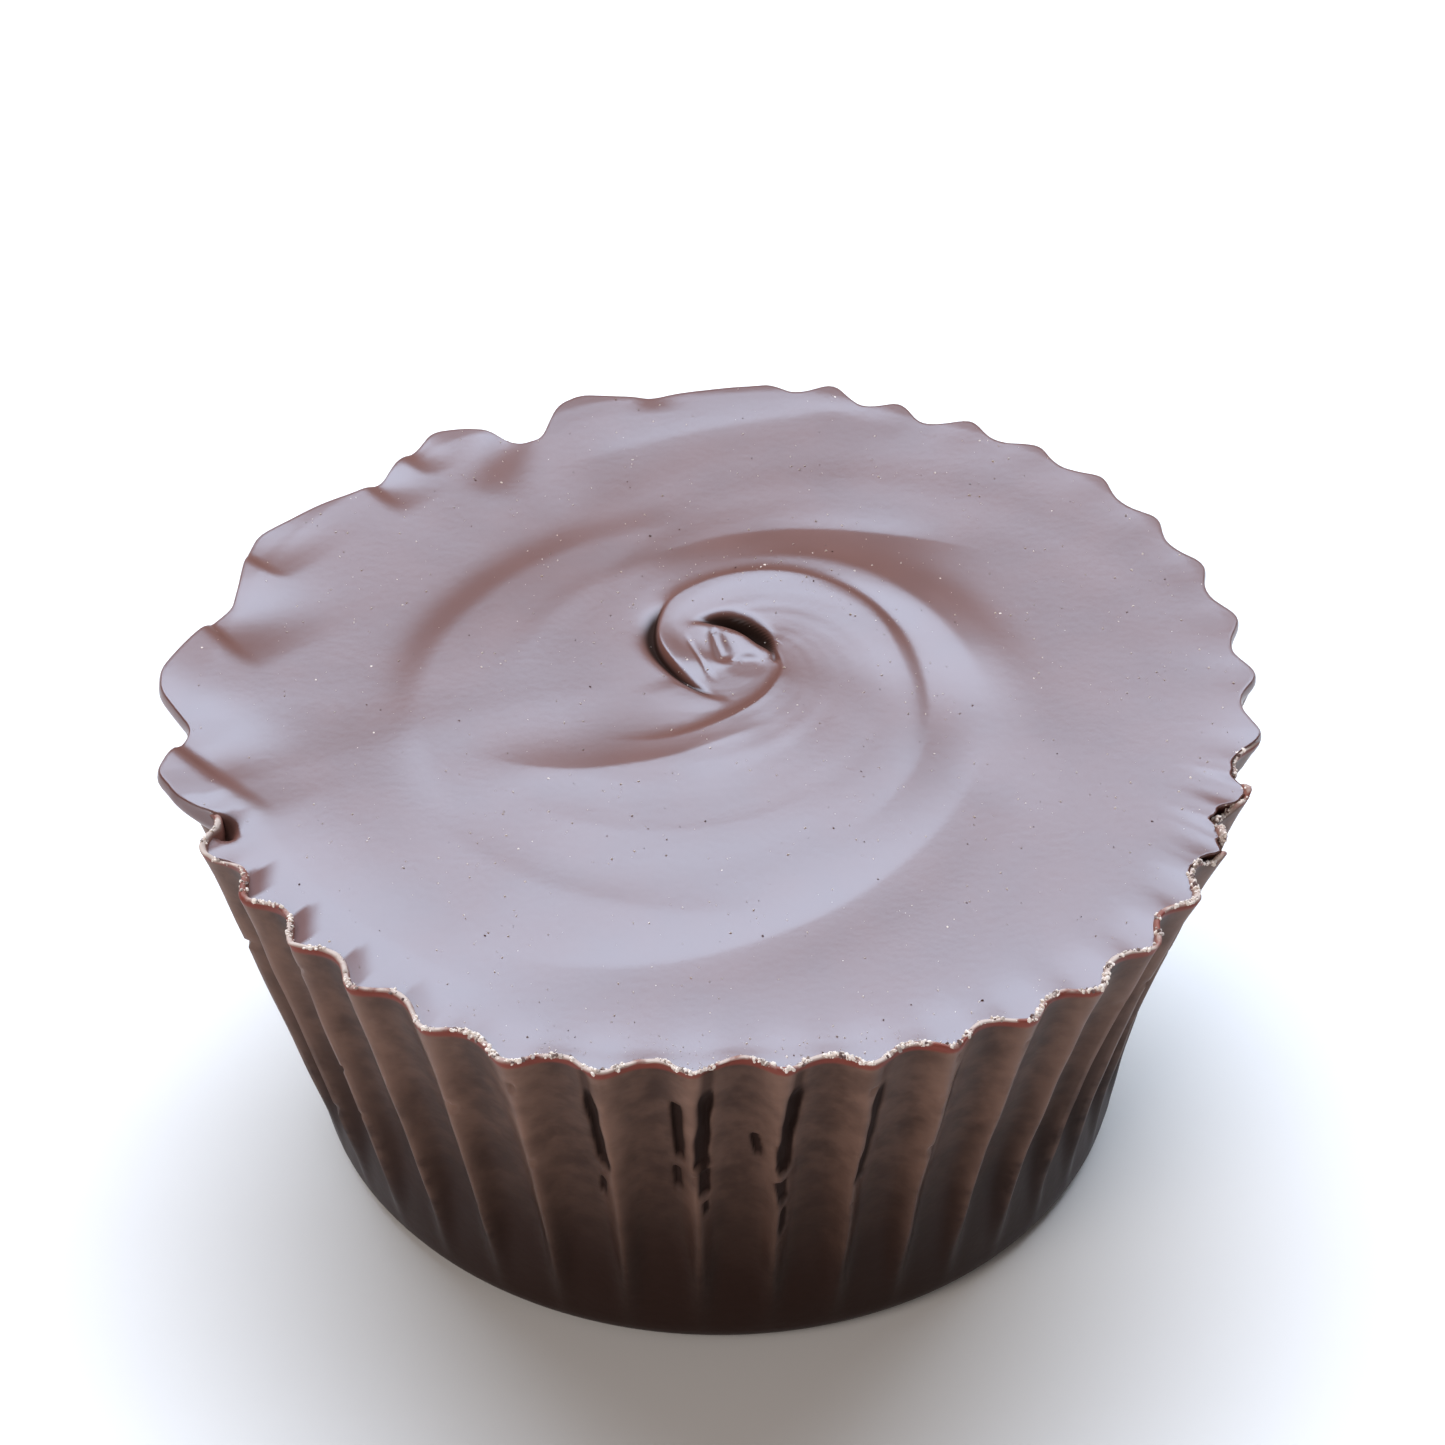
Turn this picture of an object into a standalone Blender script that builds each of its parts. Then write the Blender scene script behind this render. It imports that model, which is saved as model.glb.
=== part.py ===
"""A large unwrapped peanut butter cup: one piece of chocolate, cast in a fluted case.

It stands on its flat base. Its wall flares up in forty flutes to a thin wavy rim, chocolate has run
over that rim in soft lobes at the back left, and the top is nearly level, drawn into a swirl that ends
in a small curl. Metres, +Z up, origin on the base at the middle of the outline, front towards -Y.
Angles are in degrees, counted anticlockwise from +X as seen from above.
"""

import bmesh
import bpy
import numpy as np

MM = 0.001

# Driving dimensions
RIM_RADIUS = 25.5 * MM          # to the ridges of the flutes, at the rim
BASE_RADIUS = 19.5 * MM         # where the wall would meet the floor, but for its rounded edge
RIM_HEIGHT = 22.8 * MM
FOOT_ROUNDING = 1.2 * MM
LIP_THICKNESS = 0.32 * MM       # of the thin edge that stands round the top
OUTLINE_MIDDLE = (-0.55 * MM, 0.13 * MM)   # of the whole outline, from the axis of the case

# Flutes
FLUTE_COUNT = 40
FIRST_RIDGE = 266.6             # angle of the ridge nearest the front
RIDGE_DRIFT = 1.2               # the ridges wander from even spacing by up to this many degrees
DRIFT_TURNS = 3                 # and do so this many times round the cup
DRIFT_START = 250.0
FLUTE_DEPTH = 1.0 * MM          # ridge to hollow, at the rim
SHALLOW_FLUTES = ((35, 50, 0.35), (277, 50, 0.22))   # angle, half width, and the share of depth lost
FLUTES_START = 0.6 * MM         # height at which they begin
FLUTES_FULL = 9.0 * MM          # height at which they have their full depth
RIDGE_SHARPNESS = (2.0, 0.4)    # low on the wall, and at the rim

# The wall is a little hollow between foot and rim: by this much all round, and by more at one side
WAIST = 0.20 * MM
WAIST_SIDE = (338, 45, 0.75 * MM)    # angle, half width, and the further depth

# Where the case was pushed out of round: angle, half width in degrees, push outwards at the rim
PUSHES = (
    (30, 46, 0.45 * MM),
    (66, 8, -0.45 * MM),
    (80, 9, 0.40 * MM),
    (204, 8, 0.50 * MM),
    (247, 14, 0.60 * MM),
    (273, 16, -0.60 * MM),
    (315, 22, 0.55 * MM),
)

# Chocolate that ran over the rim: angle, and how far out it reaches there in millimetres
OVERFLOW_OUTLINE = (
    (76, 25.75), (82, 25.55), (88, 25.15), (92, 24.85), (98, 24.5), (102, 24.9), (106, 25.45),
    (109, 25.0), (111, 23.85), (113, 22.75), (116, 22.95), (118, 24.45), (121, 25.25), (124, 25.75),
    (127, 25.1), (130, 24.95), (134, 24.15), (138, 24.5), (142, 25.1), (146, 25.55), (150, 26.2),
    (154, 25.8), (158, 25.2), (162, 24.8), (165, 25.3), (168, 25.9), (174, 26.85), (177, 26.7),
    (180, 25.85), (183, 25.05), (185, 25.3), (187, 26.1), (190, 26.8), (193, 26.25), (196, 26.0),
    (204, 25.8),
)
OVERFLOW_SPAN = (84, 196, 6)    # first angle, last angle, and the degrees over which it fades
OVERFLOW_BOTTOM = 1.6 * MM      # how far below the rim the overflow meets the wall
ROUNDING = 0.48 * MM            # of its swollen edge
LEVEL_SPAN = (-6, 84, 6)        # where the top runs out level over the lip
RISE = 0.36 * MM                # towards the edge
RISE_LENGTH = 11.0 * MM
RISE_SPAN = (-5, 194, 40)

# Straight creases where lobes meet, and one ridge (negative): start and end in millimetres from the axis,
# depth in millimetres, and the width to the left and right of the line
CREASES = (
    ((-26.3, -1.4), (-19.7, -8.0), 0.34, 1.8, 0.55),
    ((-25.4, 7.8), (-21.5, 2.9), 0.34, 2.8, 0.50),
    ((-23.6, 12.2), (-20.4, 9.6), 0.24, 2.4, 0.45),
    ((-17.7, 17.9), (-14.9, 15.0), 0.20, 1.4, 0.5),
    ((-16.2, 20.8), (-13.8, 17.8), 0.20, 1.0, 0.5),
    ((-10.2, 22.6), (-10.5, 18.0), 0.45, 0.9, 0.6),
    ((-3.7, 25.9), (-3.3, 22.8), 0.16, 1.0, 0.6),
    ((-17.2, -7.0), (-1.9, -1.5), -0.09, 7.0, 5.5),
)
CREASE_FADE = 0.3               # share of a crease over which either end fades

# The edge's cross-section, from the wall inwards. Each point has its turn round the overflow's swollen
# edge and, where the lip is bare, its depth below the rim and its distance in from the wall.
EDGE_POINTS = (
    (120, 1.2 * MM, 0.0),
    (80, 0.1 * MM, 0.0),
    (45, -0.10 * MM, 0.12 * MM),
    (12, -0.06 * MM, LIP_THICKNESS),
)

# Inside the bare lip the chocolate set a little lower, and lower still at the left
POOL_DROP = 0.10 * MM
MENISCUS = 1.3 * MM             # how far in from the edge the top levels out
LOW_POOL = (222, 27, 0.32 * MM, 4.2 * MM)    # angle, half width, further drop and its length inwards

# Top
DOME_RISE = 0.12 * MM
DOME_POWER = 2.6                # 2 for a parabola, more for a flatter middle
SWIRL_CENTRE = (0.75 * MM, 3.55 * MM)
# Each fold of the swirl: first and last angle about the swirl's centre, then, at even steps between
# them, its radius and its height (a groove is negative), then its width towards the centre and away
# from it. All in millimetres. A low sharp gives a crease, 2 a round fold.
FOLDS = {
    "curl_crest": dict(
        angles=(325, 600),
        radii=(10.2, 7.95, 7.45, 6.8, 5.95, 4.85, 3.2, 2.45, 2.5),
        height=(0.03, 0.13, 0.16, 0.15, 0.15, 0.2, 0.24, 0.2, 0.1),
        inside=(1.8, 1.6, 1.6, 1.2),
        outside=(0.75, 0.46, 0.36, 0.22),
        sharp=1.4,
    ),
    "curl_groove": dict(
        angles=(282, 440),
        radii=(14.5, 11.8, 9.7, 8.45, 7.5, 7),
        height=(-0.03, -0.07, -0.19, -0.18, -0.08, -0.02),
        inside=(0.7, 0.8, 0.35),
        outside=(1.4, 2.2, 0.8, 0.3),
        sharp=1.5,
    ),
    "pocket": dict(
        angles=(118, 262),
        radii=(5.75, 4.35, 3.15, 2.72, 3.1),
        height=(-0.08, -0.42, -0.45, -0.28, -0.08),
        inside=(0.13, 0.13),
        outside=(0.18, 0.46, 0.2, 0.12, 0.1),
        sharp=1.3,
    ),
    "hollow": dict(
        angles=(-50, 130),
        radii=(2.35, 1.95, 1.95, 2.25, 2.9, 3.5),
        height=(-0.1, -0.13, -0.2, -0.8, -0.85, -0.5),
        inside=(0.1, 0.1, 0.12, 0.32, 0.26, 0.09),
        outside=(0.12, 0.12, 0.13, 0.31, 0.36, 0.14),
        sharp=1.5,
    ),
    "flap": dict(
        angles=(10, 128),
        radii=(1.2, 1.35, 1.6, 2, 3),
        height=(0.06, 0.08, 0.12, 0.14, 0.12),
        inside=(0.9, 1.3),
        outside=(0.2, 0.2),
        sharp=2.0,
    ),
    "inner_arm": dict(
        angles=(219, 352),
        radii=(8.9, 6.6, 4.25, 3.15, 2.55, 2.2, 1.85),
        height=(0.03, 0.04, 0.05, 0.05, 0.05, 0.05, 0.04),
        inside=(0.55, 0.3),
        outside=(0.8, 0.5),
        sharp=1.2,
    ),
    "outer_arm": dict(
        angles=(206, 290),
        radii=(15.2, 12.5, 9.3, 6.9, 5.7, 5.1),
        height=(0.05, 0.09, 0.12, 0.11, 0.07, 0.03),
        inside=(2.2, 1.5, 0.9),
        outside=(2.4, 1.6),
        sharp=1.2,
    ),
    "front_slope": dict(
        angles=(219, 436),
        radii=(9.2, 4.9, 3, 2.4, 2.1, 2.1),
        height=(0.04, 0.24, 0.33, 0.27, 0.12, 0.05),
        inside=(0.9, 0.26, 0.26),
        outside=(6, 9.5, 7),
        sharp=1.5,
    ),
    "left_roll": dict(
        angles=(196, 320),
        radii=(14.5, 10.8, 7.4, 5.8),
        height=(0.03, 0.08, 0.06, 0.03),
        inside=(2.6, 2.6),
        outside=(5.5, 6.5),
        sharp=1.6,
    ),
    "sill": dict(
        angles=(325, 520),
        radii=(13, 10.9, 9.4, 8.1, 7.2, 6, 5.6),
        height=(0.07, 0.21, 0.3, 0.29, 0.2, 0.09, 0.03),
        inside=(3.4, 5, 4),
        outside=(2.4, 2.2, 2.3, 2.2),
        sharp=2.0,
    ),
    "left_step": dict(
        angles=(84, 228),
        radii=(10.9, 10.7, 11.3, 12.5, 14.2, 15.7, 17),
        height=(0.02, 0.05, 0.13, 0.24, 0.28, 0.2, 0.06),
        inside=(3, 6, 8, 8),
        outside=(1.3, 1.4, 1.6),
        sharp=2.0,
    ),
    "front_crease": dict(
        angles=(236, 342),
        radii=(24.2, 22, 18.9, 16.2, 14.2, 12.7),
        height=(-0.08, -0.16, -0.24, -0.22, -0.14, -0.04),
        inside=(2.4, 1.6),
        outside=(6, 5),
        sharp=1.3,
    ),
    "left_rim": dict(
        angles=(188, 250),
        radii=(24, 24.6, 25, 25.4),
        height=(0.06, 0.17, 0.16, 0.05),
        inside=(6.5, 6.5),
        outside=(1.6, 1.6),
        sharp=1.8,
    ),
    "back_crease": dict(
        angles=(30, 128),
        radii=(15.3, 12.2, 10.3, 9.2, 8.6),
        height=(-0.03, -0.09, -0.09, -0.07, -0.02),
        inside=(1.8, 1.5),
        outside=(1.9, 1.2, 0.9, 0.6),
        sharp=1.2,
    ),
}
FOLD_FADE = 0.22                # share of a fold over which either end fades
NARROWEST = 0.35                # millimetres, the narrowest flank that the mesh can follow

# Mesh density
FLUTE_CORNERS = (0.0, 0.16, 0.33, 0.5, 0.67, 0.84)      # shares of the way from ridge to ridge
FOOT_TURNS = (0, 30, 60)                                # degrees round the foot's edge
WALL_LEVELS = (0.13, 0.30, 0.50, 0.70)                  # shares of the rim's height
TOP_RINGS = (0.92, 0.86, 0.80, 0.74, 0.68, 0.62, 0.57, 0.52, 0.475, 0.43, 0.39, 0.35, 0.315)
INNER_RINGS = (0.285, 0.255, 0.23, 0.205, 0.18, 0.16, 0.14, 0.12, 0.10, 0.08, 0.06, 0.035)
EDGE_RING = 0.965                                       # shares of the way out from the swirl's centre
TWIST_FROM = 0.80                                       # inside this share the grid turns with the swirl
TWIST = 1.7                                             # radians a grid line turns as its radius falls by e

CHOCOLATE_COLOUR = (0.115, 0.058, 0.040, 1.0)
CHOCOLATE_ROUGHNESS = 0.38
SHARP_ANGLE = 50                # degrees between faces, past which their edge is drawn sharp


def clear_scene():
    for thing in list(bpy.data.objects):
        bpy.data.objects.remove(thing)


def ease(share):
    """0 up to 0, 1 from 1 on, and smooth between."""
    share = np.clip(share, 0.0, 1.0)
    return share * share * (3 - 2 * share)


def turn_between(angle, centre):
    """Signed degrees from centre to angle, from -180 to 180."""
    return (angle - centre + 180) % 360 - 180


def bump(angle, centre, half_width):
    """A soft bump round the rim, which is nearly gone at half_width."""
    return np.exp(-2.5 * (turn_between(angle, centre) / half_width) ** 2)


def along(values, share):
    """Smooth run through values at even steps, read at shares from 0 to 1 (a Catmull-Rom curve)."""
    values = np.asarray(values, float)
    padded = np.concatenate([[2 * values[0] - values[1]], values, [2 * values[-1] - values[-2]]])
    place = np.clip(share, 0, 1) * (len(values) - 1)
    step = np.minimum(place.astype(int), len(values) - 2)
    u = place - step
    before, start, end, after = (padded[step + k] for k in range(4))
    return 0.5 * (
        2 * start
        + (end - before) * u
        + (2 * before - 5 * start + 4 * end - after) * u**2
        + (3 * start - before - 3 * end + after) * u**3
    )


def ridge_drift(angle):
    """Degrees by which the flutes wander from even spacing."""
    return RIDGE_DRIFT * np.sin(np.radians(DRIFT_TURNS * (angle - DRIFT_START)))


def flute_wave(angle, sharpness):
    """1 on a ridge, falling to 0 in the hollow between two."""
    phase = np.radians(FLUTE_COUNT * (angle - FIRST_RIDGE - ridge_drift(angle)))
    lowest = np.exp(-2 * sharpness)
    return (np.exp(sharpness * (np.cos(phase) - 1)) - lowest) / (1 - lowest)


def wall_radius(angle, height):
    """Radius of the fluted wall at a height above its rounded foot."""
    share = height / RIM_HEIGHT
    plain = BASE_RADIUS + (RIM_RADIUS - BASE_RADIUS) * share
    pushed = sum(push * bump(angle, centre, width) for centre, width, push in PUSHES)
    centre, width, side_depth = WAIST_SIDE
    waist = (WAIST + side_depth * bump(angle, centre, width)) * 4 * share * (1 - share)
    low, high = RIDGE_SHARPNESS
    lost = sum(share_lost * bump(angle, centre, width) for centre, width, share_lost in SHALLOW_FLUTES)
    depth = FLUTE_DEPTH * (1 - lost)
    depth = depth * ease((height - FLUTES_START) / (FLUTES_FULL - FLUTES_START))
    return plain + pushed * share**2 - waist - depth * (1 - flute_wave(angle, low + (high - low) * share))


def span_share(angle, span):
    """1 within a span of angles, 0 outside, and smooth between."""
    first, last, fade = span
    away = np.abs(turn_between(angle, (first + last) / 2))
    return ease(((last - first) / 2 - away) / fade + 0.5)


def bare_share(angle):
    """1 where the lip stands bare, 0 where the top covers it."""
    return np.clip(1 - span_share(angle, OVERFLOW_SPAN) - span_share(angle, LEVEL_SPAN), 0, 1)


def edge_radius(angle):
    """Radius of the top's outer edge: the fluted rim, or the overflow that hides it."""
    over = span_share(angle, OVERFLOW_SPAN)
    angles, reached = np.array(OVERFLOW_OUTLINE).T
    return (1 - over) * wall_radius(angle, RIM_HEIGHT) + over * np.interp(angle % 360, angles, reached) * MM


def crease_depth(x, y):
    """How deep the straight creases are at a place on the top."""
    depth = np.zeros_like(x)
    for (start_x, start_y), (end_x, end_y), deep, left, right in CREASES:
        from_x, from_y = x / MM - start_x, y / MM - start_y
        way_x, way_y = end_x - start_x, end_y - start_y
        length = np.hypot(way_x, way_y)
        share = (from_x * way_x + from_y * way_y) / length**2
        off = (way_x * from_y - way_y * from_x) / length
        width = np.where(off > 0, left, right) * (0.7 + 0.6 * np.clip(share, 0, 1))
        ends = ease((1 - share) / CREASE_FADE) * (ease(share / CREASE_FADE) if deep < 0 else 1)
        depth += deep * np.exp(-((off / width) ** 2)) * ends * MM
    return depth


def edge_lift(angle, inwards, x, y):
    """How far the top rises towards its edge, less the creases."""
    risen = np.clip(1 - inwards / RISE_LENGTH, 0, 1) ** 2
    return span_share(angle, RISE_SPAN) * RISE * risen - crease_depth(x, y)


def fold_height(fold, distance, bearing):
    """Height that one fold of the swirl adds, at places given in polar form about its centre."""
    first, last = fold["angles"]
    height = np.zeros_like(distance)
    for turns in (0, 360):
        share = (bearing + turns - first) / (last - first)
        within = (share >= 0) & (share <= 1)
        off = distance / MM - along(fold["radii"], share)
        width = np.where(off < 0, along(fold["inside"], share), along(fold["outside"], share))
        bell = np.exp(-((np.abs(off) / np.maximum(width, NARROWEST)) ** fold["sharp"]))
        ends = ease(share / FOLD_FADE) * ease((1 - share) / FOLD_FADE)
        height += np.where(within, along(fold["height"], share) * bell * ends, 0.0)
    return height * MM


def swirl_height(x, y):
    """The swirl's relief at a place on the top."""
    dx, dy = x - SWIRL_CENTRE[0], y - SWIRL_CENTRE[1]
    distance = np.hypot(dx, dy)
    bearing = np.degrees(np.arctan2(dy, dx)) % 360
    return sum(fold_height(fold, distance, bearing) for fold in FOLDS.values())


def top_point(angle, share):
    """A point of the top, on the line from the swirl's centre to the edge at that angle."""
    plain = RIM_RADIUS - FLUTE_DEPTH / 2
    bare = bare_share(angle)
    rim = edge_radius(angle) - LIP_THICKNESS * bare
    rim = plain + (rim - plain) * ease((share - TWIST_FROM) / (1 - TWIST_FROM))
    edge_x, edge_y = rim * np.cos(np.radians(angle)), rim * np.sin(np.radians(angle))
    x = SWIRL_CENTRE[0] + share * (edge_x - SWIRL_CENTRE[0])
    y = SWIRL_CENTRE[1] + share * (edge_y - SWIRL_CENTRE[1])
    inwards = np.hypot(edge_x - x, edge_y - y)
    dome = DOME_RISE * (1 - (np.hypot(x, y) / RIM_RADIUS) ** DOME_POWER)
    centre, width, further, length = LOW_POOL
    drop = bare * POOL_DROP * np.exp(-inwards / MENISCUS)
    drop += bare * further * bump(angle, centre, width) * np.exp(-((inwards / length) ** 2))
    relief = swirl_height(x, y) * ease(inwards / MENISCUS)
    height = RIM_HEIGHT + dome + edge_lift(angle, inwards, x, y) - drop + relief
    return np.stack([x, y, height], axis=1)


def ring_points(radius, angle, height):
    """Corners of a ring round the axis."""
    turn = np.radians(angle)
    return np.stack([radius * np.cos(turn), radius * np.sin(turn), height + 0 * angle], axis=1)


def wall_rings(angle):
    """The foot's rounded edge and the fluted wall, up to where the overflow meets it."""
    rings = []
    for turn in FOOT_TURNS:
        out = FOOT_ROUNDING * (1 - np.sin(np.radians(turn)))
        up = FOOT_ROUNDING * (1 - np.cos(np.radians(turn)))
        rings.append(ring_points(wall_radius(angle, up) - out, angle, up))
    heights = [share * RIM_HEIGHT for share in WALL_LEVELS] + [RIM_HEIGHT - OVERFLOW_BOTTOM]
    return rings + [ring_points(wall_radius(angle, height), angle, height) for height in heights]


def rim_rings(angle):
    """Round the edge of the top: the swollen edge of the overflow, or where that ends the bare lip."""
    bare = bare_share(angle)
    edge = ring_points(edge_radius(angle), angle, 0.0)
    lift = edge_lift(angle, 0.0, edge[:, 0], edge[:, 1])
    rings = []
    for turn, below, inset in EDGE_POINTS:
        out = ROUNDING * (1 - np.sin(np.radians(turn)))
        down = ROUNDING * (1 - np.cos(np.radians(turn)))
        lip_radius = wall_radius(angle, RIM_HEIGHT - below) - inset
        radius = bare * lip_radius + (1 - bare) * (edge_radius(angle) - out)
        height = RIM_HEIGHT - bare * below + (1 - bare) * (lift - down)
        rings.append(ring_points(radius, angle, height))
    return rings


def top_ring(angle, share):
    """A ring of the top. Towards the middle it is turned, so that the grid's lines run with the swirl."""
    turn = np.degrees(TWIST * max(0.0, np.log(TWIST_FROM / share)))
    return top_point(angle + turn, share)


def corner_angles():
    """Angles of the corners of a ring, evenly placed on each flute."""
    flute = np.arange(FLUTE_COUNT)[:, None]
    even = FIRST_RIDGE + (flute + np.array(FLUTE_CORNERS)).ravel() * 360 / FLUTE_COUNT
    return even + ridge_drift(even)


def add_points(bm, points):
    """Corners of the mesh, moved so that the origin is at the middle of the outline."""
    return [bm.verts.new((x - OUTLINE_MIDDLE[0], y - OUTLINE_MIDDLE[1], z)) for x, y, z in points]


def join_rings(bm, lower, upper):
    """Skin between two rings. The upper one may have half as many corners."""
    count = len(upper)
    for i in range(count):
        j = (i + 1) % count
        if len(lower) == count:
            bm.faces.new((lower[i], lower[j], upper[j], upper[i]))
        else:
            first, middle, last = lower[2 * i], lower[2 * i + 1], lower[(2 * i + 2) % len(lower)]
            bm.faces.new((first, middle, upper[i]))
            bm.faces.new((middle, upper[j], upper[i]))
            bm.faces.new((middle, last, upper[j]))


def chocolate():
    material = bpy.data.materials.new("chocolate")
    material.use_nodes = True
    shader = material.node_tree.nodes["Principled BSDF"]
    shader.inputs["Base Color"].default_value = CHOCOLATE_COLOUR
    shader.inputs["Roughness"].default_value = CHOCOLATE_ROUGHNESS
    shader.inputs["Metallic"].default_value = 0.0
    return material


def chocolate_cup():
    """The whole cup as one closed skin of rings, from the foot up the wall and in over the top."""
    fine = corner_angles()
    rings = wall_rings(fine) + rim_rings(fine) + [top_ring(fine, EDGE_RING)]
    rings += [top_ring(fine[::2], share) for share in TOP_RINGS]
    rings += [top_ring(fine[::4], share) for share in INNER_RINGS]
    bm = bmesh.new()
    made = [add_points(bm, points) for points in rings]
    bm.faces.new(reversed(made[0]))
    for lower, upper in zip(made, made[1:]):
        join_rings(bm, lower, upper)
    middle = add_points(bm, top_point(fine[:1], 0.0))[0]
    inner = made[-1]
    for i, corner in enumerate(inner):
        bm.faces.new((corner, inner[(i + 1) % len(inner)], middle))
    bmesh.ops.triangulate(bm, faces=[face for face in bm.faces if len(face.verts) == 4])
    mesh = bpy.data.meshes.new("chocolate_cup")
    bm.to_mesh(mesh)
    bm.free()
    mesh.shade_smooth()
    mesh.set_sharp_from_angle(angle=np.radians(SHARP_ANGLE))
    mesh.materials.append(chocolate())
    cup = bpy.data.objects.new("chocolate_cup", mesh)
    bpy.context.scene.collection.objects.link(cup)
    return cup


def main():
    clear_scene()
    chocolate_cup()


main()
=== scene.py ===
import bmesh
import bpy
import numpy as np
from mathutils import Matrix, Vector


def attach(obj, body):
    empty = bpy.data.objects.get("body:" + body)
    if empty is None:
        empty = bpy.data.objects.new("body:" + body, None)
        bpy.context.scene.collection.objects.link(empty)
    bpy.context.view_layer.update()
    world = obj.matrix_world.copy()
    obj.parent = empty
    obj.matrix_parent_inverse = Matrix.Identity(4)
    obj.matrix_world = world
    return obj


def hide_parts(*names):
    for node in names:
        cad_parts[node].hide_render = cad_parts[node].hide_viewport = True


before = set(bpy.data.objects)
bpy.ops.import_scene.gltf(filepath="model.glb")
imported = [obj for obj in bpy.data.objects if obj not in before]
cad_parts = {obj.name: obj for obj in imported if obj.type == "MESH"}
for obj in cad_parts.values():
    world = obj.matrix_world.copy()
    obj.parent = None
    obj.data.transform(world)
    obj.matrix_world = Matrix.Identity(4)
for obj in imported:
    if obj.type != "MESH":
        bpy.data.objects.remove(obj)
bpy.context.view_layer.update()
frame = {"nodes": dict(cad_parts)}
print("frame loaded:", ", ".join(frame["nodes"]))

mm = 0.001


# Small tools

def ease(share):  # 0 up to 0, 1 from 1 on, smooth between
    share = np.clip(share, 0.0, 1.0)
    return share * share * (3 - 2 * share)


def turnBetween(angle, centre):  # degrees from centre to angle, from -180 to 180
    return (angle - centre + 180) % 360 - 180


def bump(angle, centre, halfWidth):  # soft bump round the rim, nearly gone at halfWidth degrees
    return np.exp(-2.5 * (turnBetween(angle, centre) / halfWidth) ** 2)


def bumps(angle, rows):  # sum of bumps, each row a centre, a half width and an amount
    return sum(amount * bump(angle, centre, width) for centre, width, amount in rows)


def fadeEnds(share, fade):  # 1 in the middle of a run, 0 at both ends
    return ease(share / fade) * ease((1 - share) / fade)


def polar(x, y):  # distance from the middle, and angle in degrees
    return np.hypot(x, y), np.degrees(np.arctan2(y, x))


def along(values, share):  # smooth run through values at even steps, read at shares from 0 to 1
    values = np.asarray(values, float)
    padded = np.concatenate([[2 * values[0] - values[1]], values, [2 * values[-1] - values[-2]]])
    place = np.clip(share, 0, 1) * (len(values) - 1)
    step = np.minimum(place.astype(int), len(values) - 2)
    u = place - step
    before, start, end, after = (padded[step + k] for k in range(4))
    cubic = (3 * start - before - 3 * end + after) * u**3
    return 0.5 * (2 * start + (end - before) * u + (2 * before - 5 * start + 4 * end - after) * u**2 + cubic)


def ripple(points, size, seed, waves=14):  # smooth random relief from -1 to 1 or so, with lumps of that size
    draw = np.random.default_rng(seed)
    total = np.zeros(points.shape[:-1])
    for _ in range(waves):
        way = draw.normal(size=3)
        way *= 2 * np.pi / size * draw.uniform(0.6, 1.5) / np.linalg.norm(way)
        total += np.cos(points @ way + draw.uniform(0, 2 * np.pi))
    return total / np.sqrt(waves)


def patches(points, base, strength, size, seed):  # soft patches from 0 to 1
    return ease(base + strength * ripple(points, size, seed))


def ringPoints(radius, angle, height):  # corners of a ring round the axis of the case
    turn = np.radians(angle)
    return np.stack([radius * np.cos(turn), radius * np.sin(turn), height + 0 * angle], axis=1)


def meshFromRings(name, rings):  # closed skin of rings, each with as many corners as the last or half of them
    middle = Vector(outlineMiddle)
    bm = bmesh.new()
    made = [[bm.verts.new(Vector(point) - middle) for point in ring] for ring in rings]
    for lower, upper in zip(made, made[1:]):
        count = len(upper)
        for i in range(count):
            j = (i + 1) % count
            if len(lower) == 1:
                bm.faces.new((lower[0], upper[j], upper[i]))
            elif count == 1:
                for k in range(len(lower)):
                    bm.faces.new((lower[k], lower[(k + 1) % len(lower)], upper[0]))
            elif len(lower) == count:
                bm.faces.new((lower[i], lower[j], upper[j], upper[i]))
            else:
                first, centre, last = lower[2 * i], lower[2 * i + 1], lower[(2 * i + 2) % len(lower)]
                bm.faces.new((first, centre, upper[i]))
                bm.faces.new((centre, upper[j], upper[i]))
                bm.faces.new((centre, last, upper[j]))
    mesh = bpy.data.meshes.new(name)
    bm.to_mesh(mesh)
    bm.free()
    mesh.shade_smooth()
    return mesh


def pointsFromAxis(mesh):  # from the axis of the case
    flat = np.empty(len(mesh.vertices) * 3, np.float32)
    mesh.vertices.foreach_get("co", flat)
    return flat.reshape(-1, 3).astype(float) + outlineMiddle


def readAttribute(mesh, name):
    values = np.empty(len(mesh.vertices), np.float32)
    mesh.attributes[name].data.foreach_get("value", values)
    return values


def setAttribute(mesh, name, values):
    attribute = mesh.attributes.get(name) or mesh.attributes.new(name, "FLOAT", "POINT")
    attribute.data.foreach_set("value", np.asarray(values, np.float32))


def addPiece(name, mesh):
    piece = bpy.data.objects.new(name, mesh)
    bpy.context.scene.collection.objects.link(piece)
    return piece


# Node graphs: a wire is an output socket, and arithmetic on wires adds Math nodes

class Wire:
    def __init__(self, graph, socket):
        self.graph = graph
        self.socket = socket

    def other(self, output):  # another output of the same node
        return Wire(self.graph, self.socket.node.outputs[output])

    def __neg__(self):
        return self * -1.0


def operator(operation, turned):  # a method of Wire, with the other value first if turned
    def method(wire, value):
        return wire.graph.math(operation, *((value, wire) if turned else (wire, value)))
    return method


for name, operation in {
    "add": "ADD", "sub": "SUBTRACT", "mul": "MULTIPLY", "truediv": "DIVIDE", "pow": "POWER",
}.items():
    setattr(Wire, f"__{name}__", operator(operation, False))
    setattr(Wire, f"__r{name}__", operator(operation, True))


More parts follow.
